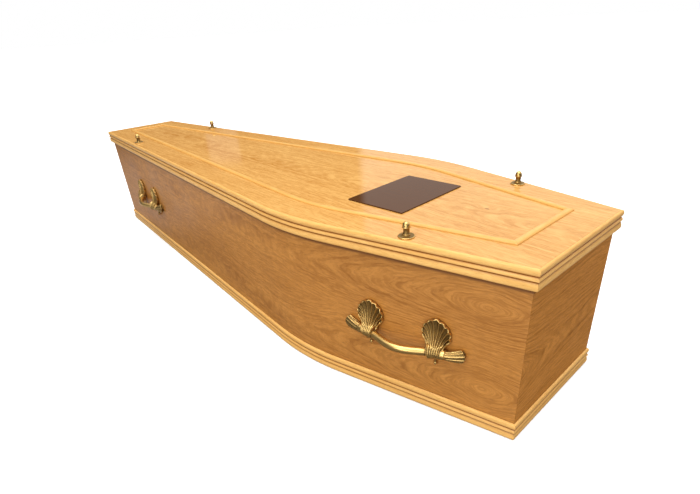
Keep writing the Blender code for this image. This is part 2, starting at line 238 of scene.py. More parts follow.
# %% Marks of the oak figure
UNEVEN_SCALE, UNEVEN_RINGS = 34.0, 3.0
HEART_REACH, HEART_WIDENING = 0.03, 0.0195
RING_START, RING_EDGE = 0.42, 0.90
FAINT_STRETCH, FAINT_RANGE, FAINTEST = (5.0, 16.0, 16.0), (0.32, 0.66), 0.15
STREAK_STRETCH, STREAK_ROUGHNESS = (4.0, 210.0, 16.0), 0.66
FLECK_STRETCH_ALONG, FLECK_STRETCH_DOWN = 38.0, 40.0
FIBRE_STRETCH = (14.0, 900.0, 900.0)
PORE_STRETCH, PORE_RANGE, PORES_ON_RINGS = (70.0, 1500.0, 1500.0), (0.60, 0.70), 0.35
PORE_RELIEF, FIBRE_RELIEF = -0.8, 0.4
CLOUD_STRETCH = (1.1, 6.0, 6.0)
KNOT_HEART = (0.0014, 0.0034)

uneven = add(figure, "ShaderNodeTexNoise", {"W": away, "Scale": UNEVEN_SCALE, "Detail": 2.0},
             noise_dimensions="1D").outputs["Fac"]
near_heart = calculate(figure, "EXPONENT", calculate(figure, "MULTIPLY", away, -1 / HEART_REACH))
turns = calculate(figure, "MULTIPLY_ADD", near_heart, HEART_WIDENING, away)
turns = calculate(figure, "DIVIDE", turns, given["Ring Width"])
turns = calculate(figure, "MULTIPLY_ADD", uneven, UNEVEN_RINGS, turns)
within = calculate(figure, "FRACT", turns)
rings = calculate(figure, "MULTIPLY", ease(figure, within, RING_START, RING_EDGE),
                  ease(figure, within, RING_EDGE, 1.0, 1.0, 0.0))
faint = ease(figure, noise(figure, given["Place"], FAINT_STRETCH), *FAINT_RANGE, FAINTEST, 1.0)
rings = calculate(figure, "MULTIPLY", rings, faint)

bent = vector(figure, X=spot["X"], Y=away, Z=across)
streaks = noise(figure, bent, STREAK_STRETCH, 4.0, STREAK_ROUGHNESS)
per_fleck = calculate(figure, "DIVIDE", 1.0, given["Fleck Width"])
fleck_stretch = vector(figure, X=FLECK_STRETCH_ALONG, Y=per_fleck, Z=FLECK_STRETCH_DOWN)
flecks = noise(figure, bent, fleck_stretch, 2.0, 0.6)
fibres = noise(figure, given["Place"], FIBRE_STRETCH)
pores = ease(figure, noise(figure, given["Place"], PORE_STRETCH, 1.0), *PORE_RANGE)
pores = calculate(figure, "MULTIPLY", pores, ease(figure, rings, 0.0, 0.5, 1.0, PORES_ON_RINGS))
cloud = noise(figure, given["Place"], CLOUD_STRETCH, 3.0, 0.55)
relief = calculate(figure, "MULTIPLY_ADD", pores, PORE_RELIEF,
                   calculate(figure, "MULTIPLY", fibres, FIBRE_RELIEF))
deliver(figure, figure_end, {"Rings": rings, "Streaks": streaks, "Flecks": flecks, "Pores": pores,
                             "Cloud": cloud, "Relief": relief,
                             "Knot Heart": ease(figure, knot_gap, *KNOT_HEART, 1.0, 0.0)})

# %% [markdown]
# ## Marks of handling
#
# Even a new coffin has been wiped and carried. A cloth leaves faint hazy patches in lacquer and
# metal, and fine hair scratches that only show in the gloss. The patches are slow noise, and the
# scratches are the thin level lines of a stretched noise. They change the roughness only, so the
# group gives a mask for each, and lacquer, brass and plate all use it at their own scale.

# %% Handling group
SCRATCH_STRETCH = (18.0, 260.0, 60.0)
SCRATCH_WIDTH = 0.006
HAZE_RANGE = (0.35, 0.70)

handling, given, handling_end = shader_group(
    "handling_marks", {"Place": (0.0, 0.0, 0.0), "Patch": 6.0}, ("Haze", "Scratches"))
patches = noise(handling, scaled(handling, given["Place"], given["Patch"]), (1.0, 1.0, 1.0), 4.0, 0.6)
level = sway(handling, given["Place"], SCRATCH_STRETCH, 1.0)
thin = ease(handling, calculate(handling, "ABSOLUTE", level), 0.0, SCRATCH_WIDTH, 1.0, 0.0)
deliver(handling, handling_end, {"Haze": ease(handling, patches, *HAZE_RANGE), "Scratches": thin})

# %% [markdown]
# ## The wood finishes
#
# The lid is a pale, glossy oak veneer, the boards below it are a browner oak with a duller
# sheen, and the mouldings are a yellow wood under the same lacquer as the lid. A bent or mitred
# strip can't take its pattern from space, or the grain would cut across the bend. Its points
# carry the place that they had in the straight plank, as the attribute "grain", and the wood
# reads that. Flat pieces read their own coordinates. Strips and boards also carry a value of
# painted shade, and darken by it: in the grooves and under the reeds of the mouldings, on the
# flanks of the bead, in the corner above the lower moulding and in a band under the lid.

# %% Wood recipe
STREAK_RANGE, FLECK_RANGE, CLOUD_RANGE = (0.38, 0.66), (0.40, 0.62), (0.35, 0.68)
CLOUD_SHARE, PORE_SHARE = 0.22, 0.5
PAINTED_SHADE_RANGE, PAINTED_SHADE_SHARE = (0.10, 0.80), 0.92
HAZE_ROUGHNESS, PORE_ROUGHNESS = 0.07, 0.15
GRAIN_DEPTH, GRAIN_STRENGTH = 0.0002, 0.35


def plain_coordinates(tree):
    return add(tree, "ShaderNodeTexCoord").outputs["Object"]


def plank_coordinates(tree):
    return add(tree, "ShaderNodeAttribute", attribute_name="grain").outputs["Vector"]


def hollow_and_shade_mark(tree):
    return add(tree, "ShaderNodeAttribute", attribute_name="hollow").outputs["Fac"]


def finish(name):
    made = bpy.data.materials.new(name)
    made.use_nodes = True
    return made, made.node_tree, made.node_tree.nodes["Principled BSDF"]


def handled(tree, place, patch=6.0):
    """The marks of handling, in patches that are 1 / patch metres wide."""
    inputs = {"Place": place, "Patch": patch}
    return add(tree, "ShaderNodeGroup", inputs, node_tree=handling).outputs


def wood(name, coordinates, light, dark, pore, numbers, shares, gloss, hollow=None):
    """An oak finish. shares says how much rings, streaks and flecks darken the wood, and gloss
    is its roughness, specular level, coat and coat roughness."""
    ring_share, streak_share, fleck_share = shares
    roughness, specular, coat, coat_roughness = gloss
    made, tree, surface = finish(name)
    place = coordinates(tree)
    oak = add(tree, "ShaderNodeGroup", node_tree=figure)
    tree.links.new(place, oak.inputs["Place"])
    for socket, value in numbers.items():
        oak.inputs[socket].default_value = value
    streaks = ease(tree, oak.outputs["Streaks"], *STREAK_RANGE)
    flecks = ease(tree, oak.outputs["Flecks"], *FLECK_RANGE, 1.0, 0.0)
    cloud = ease(tree, oak.outputs["Cloud"], *CLOUD_RANGE)
    tone = calculate(tree, "MULTIPLY", oak.outputs["Rings"], ring_share)
    for mark, share in ((streaks, streak_share), (flecks, fleck_share), (cloud, CLOUD_SHARE)):
        tone = calculate(tree, "MULTIPLY_ADD", mark, share, tone)
    pores = calculate(tree, "MULTIPLY", oak.outputs["Pores"], PORE_SHARE)
    colour = blend(tree, tone, (*light, 1.0), (*dark, 1.0))
    colour = blend(tree, oak.outputs["Knot Heart"], colour, (*pore, 1.0))
    colour = blend(tree, pores, colour, (*pore, 1.0))
    # Painted shade: the wood darkens towards the given tone by each point's shade value.
    if hollow:
        sunk = ease(tree, hollow_and_shade_mark(tree), *PAINTED_SHADE_RANGE, 0.0, PAINTED_SHADE_SHARE)
        colour = blend(tree, sunk, colour, (*hollow, 1.0))
    marks = handled(tree, place)
    rough = calculate(tree, "MULTIPLY_ADD", marks["Haze"], HAZE_ROUGHNESS, roughness)
    rough = calculate(tree, "MULTIPLY_ADD", oak.outputs["Pores"], PORE_ROUGHNESS, rough)
    bump = add(tree, "ShaderNodeBump", {"Height": oak.outputs["Relief"], "Distance": GRAIN_DEPTH,
                                        "Strength": GRAIN_STRENGTH})
    tree.links.new(colour, surface.inputs["Base Color"])
    tree.links.new(rough, surface.inputs["Roughness"])
    tree.links.new(bump.outputs["Normal"], surface.inputs["Normal"])
    surface.inputs["Specular IOR Level"].default_value = specular
    surface.inputs["Coat Weight"].default_value = coat
    surface.inputs["Coat Roughness"].default_value = coat_roughness
    print("wood", name, "has", len(tree.nodes), "nodes")
    return made


print("each wood reads", figure.name, "and", handling.name)

# %% [markdown]
# ## Six woods
#
# Each wood is the same recipe with its own tones, its own cut through the log and its own gloss.
# The side boards are opened leaves whose arches run out towards the foot, the end board is a
# plain cut, and the lid is nearly straight in the grain with one small knot. The underside is
# bare board, which is paler and has no lacquer.

# %% Wood materials
BOARD_FIGURE = {"Leaves": 1.0, "Joint": 0.191, "Heart": 0.0965, "Depth": 0.075,
                "Opening": 0.108, "Tip": 1.885, "Ring Width": 0.0054, "Wander": 0.036}
END_FIGURE = {"Heart": 0.17, "Depth": 0.06, "Opening": 0.15, "Tip": -0.06, "Ring Width": 0.0078,
              "Wander": 0.06}
LID_FIGURE = {"Heart": -0.012, "Depth": 0.085, "Opening": 0.085, "Tip": 1.25,
              "Ring Width": 0.0052, "Wander": 0.04, "Knot": (0.764, 0.014, 0.382),
              "Fleck Width": 0.0030}
STRIP_FIGURE = {"Heart": 0.30, "Depth": 0.12, "Ring Width": 0.0090, "Wander": 0.02,
                "Fleck Width": 0.0016}
# The boards' darkest tone is painted shade, for the corner above the lower moulding and the band
# under the lid.
BOARD_PORE, BOARD_SHADE_TONE = (0.16, 0.06, 0.015), (0.17, 0.06, 0.012)
STRIP_PORE, STRIP_SHARES = (0.45, 0.20, 0.05), (0.15, 0.36, 0.26)

board_wood = wood("side_oak", plank_coordinates, light=(0.625, 0.268, 0.051),
                  dark=(0.335, 0.120, 0.014), pore=BOARD_PORE, numbers=BOARD_FIGURE,
                  shares=(0.29, 0.30, 0.34), gloss=(0.38, 0.42, 0.0, 0.22), hollow=BOARD_SHADE_TONE)
end_wood = wood("end_oak", plank_coordinates, light=(0.66, 0.274, 0.054),
                dark=(0.345, 0.126, 0.016), pore=BOARD_PORE, numbers=END_FIGURE,
                shares=(0.46, 0.24, 0.30), gloss=(0.50, 0.06, 0.0, 0.22), hollow=BOARD_SHADE_TONE)
lid_wood = wood("lid_oak", plain_coordinates, light=(0.845, 0.482, 0.152),
                dark=(0.56, 0.243, 0.049), pore=(0.30, 0.11, 0.03), numbers=LID_FIGURE,
                shares=(0.26, 0.38, 0.34), gloss=(0.34, 0.0, 0.75, 0.05))
# The strips' darkest tone is painted shade, for their grooves and the lower halves of their reeds.
strip_wood = wood("strip_oak", plank_coordinates, light=(0.94, 0.560, 0.180),
                  dark=(0.75, 0.378, 0.088), pore=STRIP_PORE, numbers=STRIP_FIGURE,
                  shares=STRIP_SHARES, gloss=(0.36, 0.15, 0.2, 0.15), hollow=(0.34, 0.100, 0.013))
# The bead's darker tone is painted shade on its flanks.
bead_wood = wood("bead_oak", plank_coordinates, light=(0.86, 0.510, 0.150),
                 dark=(0.69, 0.350, 0.078), pore=STRIP_PORE, numbers=STRIP_FIGURE,
                 shares=STRIP_SHARES, gloss=(0.36, 0.15, 0.3, 0.12), hollow=(0.76, 0.385, 0.085))
under_wood = wood("under_board", plain_coordinates, light=(0.52, 0.37, 0.21),
                  dark=(0.36, 0.23, 0.12), pore=(0.20, 0.12, 0.06), numbers=END_FIGURE,
                  shares=(0.35, 0.30, 0.20), gloss=(0.72, 0.30, 0.0, 0.3))

# %% [markdown]
# ## Old brass
#
# The fittings are bright where hands and cloths reach and dark in every hollow, where the bronze
# lacquer settles. Blender can guess hollows while it renders, but that guess changes with the
# mesh. Here each casting measures its own hollows when it is made, as an attribute, and the
# brass turns from pale gold to dark bronze by it. The same attribute paints shade on the rim
# where a casting sits on the wall. A fine mottle breaks up the border between gold and bronze,
# and the cloth's haze dulls the gold in patches.

# %% Brass
PALE_GOLD, DARK_BRONZE = (0.77, 0.505, 0.178, 1.0), (0.25, 0.150, 0.048, 1.0)
HAZY_GOLD = (0.62, 0.40, 0.13, 1.0)
PATINA_AND_SHADE_RANGE = (0.36, 0.72)
BRASS_PATCH, HAZE_SHARE = 60.0, 0.25
MOTTLE_STRETCH, MOTTLE_SHARE = (420.0, 420.0, 420.0), 0.35
PIT_STRETCH, PIT_DEPTH, PIT_STRENGTH = (900.0, 900.0, 900.0), 0.00008, 0.5
BRASS_ROUGHNESS, PATINA_ROUGHER, HAZE_ROUGHER, SCRATCH_ROUGHER = 0.29, 0.20, 0.08, 0.05

brass, tree, surface = finish("old_brass")
place = plain_coordinates(tree)
marks = handled(tree, place, BRASS_PATCH)
mottle = sway(tree, place, MOTTLE_STRETCH, 3.0)
patina_and_shade = calculate(tree, "MULTIPLY_ADD", mottle, MOTTLE_SHARE, hollow_and_shade_mark(tree))
patina_and_shade = ease(tree, patina_and_shade, *PATINA_AND_SHADE_RANGE)
colour = blend(tree, patina_and_shade, PALE_GOLD, DARK_BRONZE)
colour = blend(tree, calculate(tree, "MULTIPLY", marks["Haze"], HAZE_SHARE), colour, HAZY_GOLD)
rough = calculate(tree, "MULTIPLY_ADD", patina_and_shade, PATINA_ROUGHER, BRASS_ROUGHNESS)
rough = calculate(tree, "MULTIPLY_ADD", marks["Haze"], HAZE_ROUGHER, rough)
rough = calculate(tree, "MULTIPLY_ADD", marks["Scratches"], SCRATCH_ROUGHER, rough)
pits = noise(tree, place, PIT_STRETCH)
bump = add(tree, "ShaderNodeBump", {"Height": pits, "Distance": PIT_DEPTH, "Strength": PIT_STRENGTH})
surface.inputs["Metallic"].default_value = 1.0
tree.links.new(colour, surface.inputs["Base Color"])
tree.links.new(rough, surface.inputs["Roughness"])
tree.links.new(bump.outputs["Normal"], surface.inputs["Normal"])
print("metal", brass.name, "has", len(tree.nodes), "nodes")

# %% [markdown]
# ## The dark plate's finish
#
# The plate is thin metal with a faint brushed grain under a dark gloss finish, left bare of any
# name. The clear gloss on top mirrors the room, and the brown below it is only seen where the
# room is dark, so a coat over a very dark brown gives both.

# %% Plate finish
PLATE_BROWN, PLATE_BRUSHED = (0.098, 0.036, 0.009, 1.0), (0.085, 0.031, 0.008, 1.0)
BRUSH_STRETCH, BRUSH_RANGE = (12.0, 1400.0, 1400.0), (0.3, 0.7)
PLATE_PATCH = 14.0
PLATE_ROUGHNESS, PLATE_HAZE_ROUGHER, PLATE_SCRATCH_ROUGHER = 0.30, 0.04, 0.10
PLATE_COAT, PLATE_COAT_ROUGHNESS = 0.58, 0.05

dark_plate, tree, surface = finish("dark_plate")
place = plain_coordinates(tree)
marks = handled(tree, place, PLATE_PATCH)
brushed = ease(tree, noise(tree, place, BRUSH_STRETCH), *BRUSH_RANGE)
rough = calculate(tree, "MULTIPLY_ADD", marks["Haze"], PLATE_HAZE_ROUGHER, PLATE_ROUGHNESS)
rough = calculate(tree, "MULTIPLY_ADD", marks["Scratches"], PLATE_SCRATCH_ROUGHER, rough)
tree.links.new(blend(tree, brushed, PLATE_BROWN, PLATE_BRUSHED), surface.inputs["Base Color"])
tree.links.new(rough, surface.inputs["Roughness"])
surface.inputs["Specular IOR Level"].default_value = 0.0
surface.inputs["Coat Weight"].default_value = PLATE_COAT
surface.inputs["Coat Roughness"].default_value = PLATE_COAT_ROUGHNESS
print("metal", dark_plate.name, "has", len(tree.nodes), "nodes")

# %% [markdown]
# ## The sizes of the box
#
# These are the sizes that the solids were made to, over the outside of the boards. Pieces that
# touch are kept a hair apart, so that they stay separate.

# %% Sizes of the box
BOX_HALF_LENGTH = 0.970
SHOULDER_X = 0.450
FOOT_HALF_WIDTH = 0.1315
SHOULDER_HALF_WIDTH = 0.2725
HEAD_HALF_WIDTH = 0.1635
SHOULDER_RADIUS = 0.70
ARC_STEPS = 24
HEIGHT = 0.382
WALL = 0.016
LID = 0.018
GAP = 0.0003
MITRE_PULL = 0.0002
LID_OVERHANG = 0.005
MOULDING_HEIGHT = 0.041
print("the box is", 2 * BOX_HALF_LENGTH, "m long and", 2 * SHOULDER_HALF_WIDTH, "m wide")

# %% [markdown]
# ## The line of the box
#
# A coffin of this form has two straight panels a side, joined by a bend at the shoulder, and two
# ends. Every strip and board on it is that one line, moved out or in. The side's line is two
# straight lines and an arc that touches both, so it needs only three corners and a radius.

# %% Box line
def lerp(start, end, share):
    return start + (end - start) * share


def panel_line(start, end, offset):
    along = (end - start).normalized()
    outward = Vector((-along.y, along.x))
    return start + outward * offset, along, outward


def side_line(offset):
    """Points of the left side's line from foot to head, moved out by the offset."""
    foot = Vector((-BOX_HALF_LENGTH, FOOT_HALF_WIDTH))
    shoulder = Vector((SHOULDER_X, SHOULDER_HALF_WIDTH))
    head = Vector((BOX_HALF_LENGTH, HEAD_HALF_WIDTH))
    foot_on, foot_along, foot_out = panel_line(foot, shoulder, offset)
    head_on, head_along, _ = panel_line(shoulder, head, offset)
    end_x = BOX_HALF_LENGTH + offset
    first = foot_on + foot_along * ((-end_x - foot_on.x) / foot_along.x)
    last = head_on + head_along * ((end_x - head_on.x) / head_along.x)
    bend = foot_along.angle(head_along)
    centre = shoulder - foot_along * (SHOULDER_RADIUS * math.tan(bend / 2))
    centre = centre - foot_out * SHOULDER_RADIUS
    start_angle = math.atan2(foot_out.y, foot_out.x)
    arc = []
    for step in range(ARC_STEPS + 1):
        angle = start_angle - bend * step / ARC_STEPS
        arc.append(centre + Vector((math.cos(angle), math.sin(angle))) * (SHOULDER_RADIUS + offset))
    return [first, *arc, last]


def half_width(x, offset=0.0):
    """Half the box's width at x, grown by the offset."""
    points = side_line(offset)
    for start, end in zip(points, points[1:]):
        if start.x <= x <= end.x:
            return lerp(start.y, end.y, (x - start.x) / (end.x - start.x))
    raise ValueError("x is beyond the ends of the box")


print("at the shoulder the bent line is", round(2 * half_width(SHOULDER_X), 4), "m wide")

# %% [markdown]
# ## A line that carries its numbers
#
# The corner between a side and an end is a mitre, so each point needs to know which way it goes
# when the line moves: straight out on a panel, along the mitre at a corner. It also needs its
# reach, which is how far along the stick it lies. Geometry Nodes read named attributes, so each
# line is made a mesh of edges whose points carry both.

# %% Strip lines
def line_mesh(name, points, **values):
    """Edges through the points, with a value of each kind for every point."""
    mesh = bpy.data.meshes.new(name)
    edges = [(here, here + 1) for here in range(len(points) - 1)]
    mesh.from_pydata([(*point, 0.0)[:3] for point in points], edges, [])
    for label, numbers in values.items():
        flat = np.array(numbers, dtype=np.float32)
        kind, field = ("FLOAT_VECTOR", "vector") if flat.ndim == 2 else ("FLOAT", "value")
        mesh.attributes.new(label, kind, "POINT").data.foreach_set(field, flat.ravel())
    return mesh


def strip_line(where):
    """The line of one side or end, whose points know their mitres and their reach."""
    if where in ("right", "left"):
        inner, outer = side_line(0.0), side_line(1.0)
        mitres = [far - near for near, far in zip(inner, outer)]
        inner[0] += (inner[1] - inner[0]).normalized() * MITRE_PULL
        inner[-1] -= (inner[-1] - inner[-2]).normalized() * MITRE_PULL
    else:
        number = 0 if where == "foot" else -1
        near, far = side_line(0.0)[number], side_line(1.0)[number]
        pulled = near.y - MITRE_PULL
        inner = [Vector((near.x, -pulled)), Vector((near.x, pulled))]
        out, aside = far - near
        mitres = [Vector((out, -aside)), Vector((out, aside))]
    reach = [0.0]
    for start, end in zip(inner, inner[1:]):
        reach.append(reach[-1] + (end - start).length)
    return line_mesh("line_" + where, inner, mitre=[(*m, 0.0) for m in mitres], reach=reach)


side_reach = strip_line("right").attributes["reach"].data[-1].value
print("one side is", round(side_reach, 3), "m along its outer face")

# %% [markdown]
# ## Short words for geometry trees
#
# The trees that follow use the same nodes again and again: a mesh read as a curve, a field kept
# from before a change, a point sent elsewhere. Each gets a short function, so that the trees
# below read like the steps of the work.

# %% Geometry helpers
def geometry_tree(name, inputs):
    """An empty geometry tree that takes a line and the named inputs, and gives a piece."""
    tree = bpy.data.node_groups.new(name, "GeometryNodeTree")
    tree.interface.new_socket("Line", in_out="INPUT", socket_type="NodeSocketGeometry")
    for socket, kind in inputs.items():
        tree.interface.new_socket(socket, in_out="INPUT", socket_type="NodeSocket" + kind)
    tree.interface.new_socket("Piece", in_out="OUTPUT", socket_type="NodeSocketGeometry")
    return tree, tree.nodes.new("NodeGroupInput").outputs, tree.nodes.new("NodeGroupOutput")


def as_curve(tree, mesh):
    return add(tree, "GeometryNodeMeshToCurve", {"Mesh": mesh}).outputs[0]


def position(tree):
    return add(tree, "GeometryNodeInputPosition").outputs[0]


def moved(tree, geometry, **where):
    """Sends every point to a Position, or by an Offset."""
    return add(tree, "GeometryNodeSetPosition", {"Geometry": geometry, **where}).outputs[0]


def named(tree, label, kind="FLOAT"):
    return add(tree, "GeometryNodeInputNamedAttribute", {"Name": label}, data_type=kind).outputs[0]


def stored(tree, geometry, label, field, kind="FLOAT"):
    inputs = {"Geometry": geometry, "Name": label, "Value": field}
    return add(tree, "GeometryNodeStoreNamedAttribute", inputs, data_type=kind).outputs[0]


def capture(tree, geometry, **fields):
    """Keeps fields on the points as they are now. Gives the geometry and the kept fields."""
    keeper = add(tree, "GeometryNodeCaptureAttribute", {"Geometry": geometry})
    kept = []
    for label, (kind, field) in fields.items():
        keeper.capture_items.new(kind, label)
        tree.links.new(field, keeper.inputs[label])
        kept.append(keeper.outputs[label])
    return keeper.outputs["Geometry"], kept


def finished(tree, geometry, material, end):
    whole = add(tree, "GeometryNodeRealizeInstances", {"Geometry": geometry}).outputs[0]
    dressed = add(tree, "GeometryNodeSetMaterial", {"Geometry": whole, "Material": material})
    tree.links.new(dressed.outputs[0], end.inputs[0])
    print("tree", tree.name, "has", len(tree.nodes), "nodes")


print("geometry trees take a line and give a piece")

# %% [markdown]
# ## A strip bent to the line
#
# A moulding is milled straight, mitred at both ends and glued along the box, and the long boards
# are kerfed and bent round the shoulder. Geometry Nodes can do the same thing in the same order.
# The tree first sweeps the section along a straightened line, which is the straight stick, and
# stores each point's place in it for the grain. Then it sends every point to the bent line, out
# along its own mitre. A plain sweep along the bent line would thin the strip at the corners, and
# this way it keeps its section and meets its neighbour on the mitre. One tree makes the boards,
# the mouldings and the bead.

# %% Strip tree
strip_tree, given, strip_end = geometry_tree("strip_bent_to_line", {
    "Section": "Object", "Out": "Float", "Bottom": "Float", "Side": "Float",
    "Cut From": "Vector", "Material": "Material"})
line, (on_line, mitre, reach) = capture(
    strip_tree, as_curve(strip_tree, given["Line"]),
    on_line=("VECTOR", position(strip_tree)),
    mitre=("VECTOR", named(strip_tree, "mitre", "FLOAT_VECTOR")),
    reach=("FLOAT", named(strip_tree, "reach")))
line = moved(strip_tree, line, Position=vector(strip_tree, X=reach))
section = add(strip_tree, "GeometryNodeObjectInfo", {"Object": given["Section"]})
section, (on_section, sunk) = capture(
    strip_tree, as_curve(strip_tree, section.outputs["Geometry"]),
    on_section=("VECTOR", position(strip_tree)),
    sunk=("FLOAT", named(strip_tree, "hollow")))
stick = add(strip_tree, "GeometryNodeCurveToMesh",
            {"Curve": line, "Profile Curve": section, "Fill Caps": True}).outputs[0]

flat = axes(strip_tree, on_section)
out = calculate(strip_tree, "ADD", flat["X"], given["Out"])
height = calculate(strip_tree, "ADD", flat["Y"], given["Bottom"])
in_plank = calculate_vector(strip_tree, "ADD", vector(strip_tree, X=reach, Y=height, Z=out),
                            given["Cut From"])
stick = stored(strip_tree, stick, "grain", in_plank, "FLOAT_VECTOR")
stick = stored(strip_tree, stick, "hollow", sunk)

bent_place = calculate_vector(strip_tree, "ADD", on_line, scaled(strip_tree, mitre, out))
bent_place = calculate_vector(strip_tree, "ADD", bent_place, vector(strip_tree, Z=height))
to_side = vector(strip_tree, X=1.0, Y=given["Side"], Z=1.0)
bent_place = calculate_vector(strip_tree, "MULTIPLY", bent_place, to_side)
stick = moved(strip_tree, stick, Position=bent_place)
finished(strip_tree, stick, given["Material"], strip_end)

# %% [markdown]
# ## From tree to piece
#
# A modifier keeps a mesh live, but the finished coffin needs plain meshes that every program can
# read. So a helper holds the line, the tree grows the piece on it, the result is copied out as a
# mesh, and the helper goes. The faces of each closed mesh are turned outwards, and only edges
# sharper than 35 degrees stay hard.

# %% Piece helpers
def taken_out(name, helper):
    """A plain mesh of what the helper's modifiers make. The helper goes."""
    bpy.context.view_layer.update()
    graph = bpy.context.evaluated_depsgraph_get()
    mesh = bpy.data.meshes.new_from_object(helper.evaluated_get(graph))
    bpy.data.objects.remove(helper)
    mesh.name = name
    return mesh


def grown(name, line, tree, values):
    """The mesh that a tree grows on a line. The values go by the names of its inputs."""
    helper = placed(name + "_helper", line)
    modifier = helper.modifiers.new("Grow", "NODES")
    modifier.node_group = tree
    for item in tree.interface.items_tree:
        if item.in_out == "INPUT" and item.name in values:
            modifier[item.identifier] = values[item.name]
    return taken_out(name, helper)


def poured(name, work):
    """A mesh with what was built in bmesh."""
    mesh = bpy.data.meshes.new(name)
    work.to_mesh(mesh)
    work.free()
    return mesh


def outward(mesh, hard_degrees=35):
    """Turns a closed mesh's faces outwards and shades it, with its sharp edges hard."""
    work = bmesh.new()
    work.from_mesh(mesh)
    bmesh.ops.recalc_face_normals(work, faces=work.faces)
    work.to_mesh(mesh)
    work.free()
    mesh.shade_smooth()
    mesh.set_sharp_from_angle(angle=math.radians(hard_degrees))
    return mesh


def settle(name, mesh, material, node):
    """Makes the mesh a piece of the coffin that stands for one of the solids."""
    mesh.materials.clear()
    mesh.materials.append(material)
    piece = placed(name, mesh)
    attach(piece, "root")
    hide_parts(node)


print("solids to be dressed:", len(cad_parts))

# %% [markdown]
# ## Strips from one plank
#
# A section is drawn once as a closed outline whose points know how much painted shade they get.
# Four strips are then swept from it, one for each side and end. Each is cut from its own length
# of a long plank, so that no two of them show the same grain.

# %% Strip helpers
PLANK_LENGTH = 2.6


def section_object(name, points):
    """A closed outline of (out, up, painted shade), for the strip tree to sweep."""
    mesh = bpy.data.meshes.new(name)
    count = len(points)
    mesh.from_pydata([(out, up, 0.0) for out, up, _ in points],
                     [(here, (here + 1) % count) for here in range(count)], [])
    hollows = [hollow for _, _, hollow in points]
    mesh.attributes.new("hollow", "FLOAT", "POINT").data.foreach_set("value", hollows)
    return placed(name, mesh)


def strips(kind, section, out, bottom, material, wheres=("right", "left", "head", "foot")):
    """One strip for each side or end named. Each is cut from its own place in the plank."""
    for number, where in enumerate(wheres):
        values = {"Section": section, "Out": out, "Bottom": bottom, "Material": material}
        values["Side"] = -1.0 if where == "right" else 1.0
        values["Cut From"] = (PLANK_LENGTH * number, 0.0, 0.0)
        mesh = outward(grown("oak_" + kind + "_" + where, strip_line(where), strip_tree, values))
        settle(mesh.name, mesh, material, kind + "_" + where)
    print(kind, "strips have", len(mesh.polygons), "faces at the", where)


print("each strip is cut from its own", PLANK_LENGTH, "m of plank")

# %% [markdown]
# ## The boards of the box
#
# Each long side is one board, bent at the shoulder, and each end is a short one, mitred to the
# sides. Their section is a tall thin rectangle whose arrises are just eased, as a maker does
# before lacquering so that the edge doesn't chip. Two short stretches of its outer face get
# painted shade: the corner above the lower moulding, and a band under the lid's moulding. The
# board at the bottom lies out of sight inside them, so its solid stays as it is and only gets a
# plainer wood.

# %% Side and end boards
ARRIS = 0.0006
JOINT_SHADE, JOINT_FADES_BY = 0.6, 0.0040
SHADE_FROM, SHADE_FULL = 0.0130, 0.0035


def board_outline(inner, outer, bottom, top):
    """The board's section with eased arrises, and painted shade beside both mouldings."""
    lid_edge = HEIGHT - MOULDING_HEIGHT
    # Painted shade: darkest in the corner above the lower moulding and in a band under the lid.
    points = [(outer, MOULDING_HEIGHT, JOINT_SHADE),
              (outer, MOULDING_HEIGHT + JOINT_FADES_BY, 0.0),
              (outer, lid_edge - SHADE_FROM, 0.0), (outer, lid_edge - SHADE_FULL, 1.0)]
    corners = ((outer, top, 0), (inner, top, 1), (inner, bottom, 2), (outer, bottom, 3))
    for x, y, quarter in corners:
        middle_x = x - ARRIS if x == outer else x + ARRIS
        middle_y = y - ARRIS if y == top else y + ARRIS
        for step in range(4):
            angle = math.pi / 2 * (quarter + step / 3)
            points.append((middle_x + ARRIS * math.cos(angle),
                           middle_y + ARRIS * math.sin(angle), 0.0))
    return points


wall_top = HEIGHT - LID - GAP
board_section = section_object("board_section", board_outline(-WALL, 0.0, 0.0, wall_top))
strips("side_board", board_section, 0.0, 0.0, board_wood, ("right", "left"))
strips("end_board", board_section, 0.0, 0.0, end_wood, ("head", "foot"))
floor_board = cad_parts["floor_board"]
for place_in_slots in floor_board.material_slots:
    place_in_slots.material = under_wood

# %% [markdown]
# ## The lid
#
# The lid is one veneered board with the outline of the box, a little larger. It is flat, so it
# needs no sweep: the outline is one face, drawn out downwards. Its sharp edge is hidden behind
# the moulding that runs round it.

# %% Lid board
def outline_board(name, offset, bottom, top):
    line = side_line(offset)
    outline = line + [Vector((point.x, -point.y)) for point in reversed(line)]
    work = bmesh.new()
    ring = [work.verts.new((point.x, point.y, top)) for point in outline]
    face = work.faces.new(ring)
    drawn = bmesh.ops.extrude_face_region(work, geom=[face])["geom"]
    lower = [item for item in drawn if isinstance(item, bmesh.types.BMVert)]
    bmesh.ops.translate(work, verts=lower, vec=(0.0, 0.0, bottom - top))
    return outward(poured(name, work), 20)


lid_mesh = outline_board("veneered_lid", LID_OVERHANG - GAP, HEIGHT - LID, HEIGHT)
settle("veneered_lid", lid_mesh, lid_wood, "lid_board")
print("lid", len(lid_mesh.polygons), "faces")

# %% [markdown]
# ## The reeded mouldings
#
# The edge of the lid and the foot of the box carry the same milled moulding: a fat bullnose, a
# narrow reed and a wide one, with sharp grooves between. Each reed is a half oval whose crest
# sits off its middle. The points are spaced more closely near the grooves, where the curve turns
# fastest. The outline also gives every point a share of painted shade, full in the grooves and
# partial on the lower half of each reed, and the wood darkens by it.

# %% Mouldings
MOULDING_DEPTH = 0.005
GROOVE = 0.0040
REEDS = ((0.0000, 0.0138, 0.45, 16), (0.0144, 0.0232, 0.72, 11), (0.0241, 0.0410, 0.66, 16))
LOWER_HALF_SHADE = 0.55


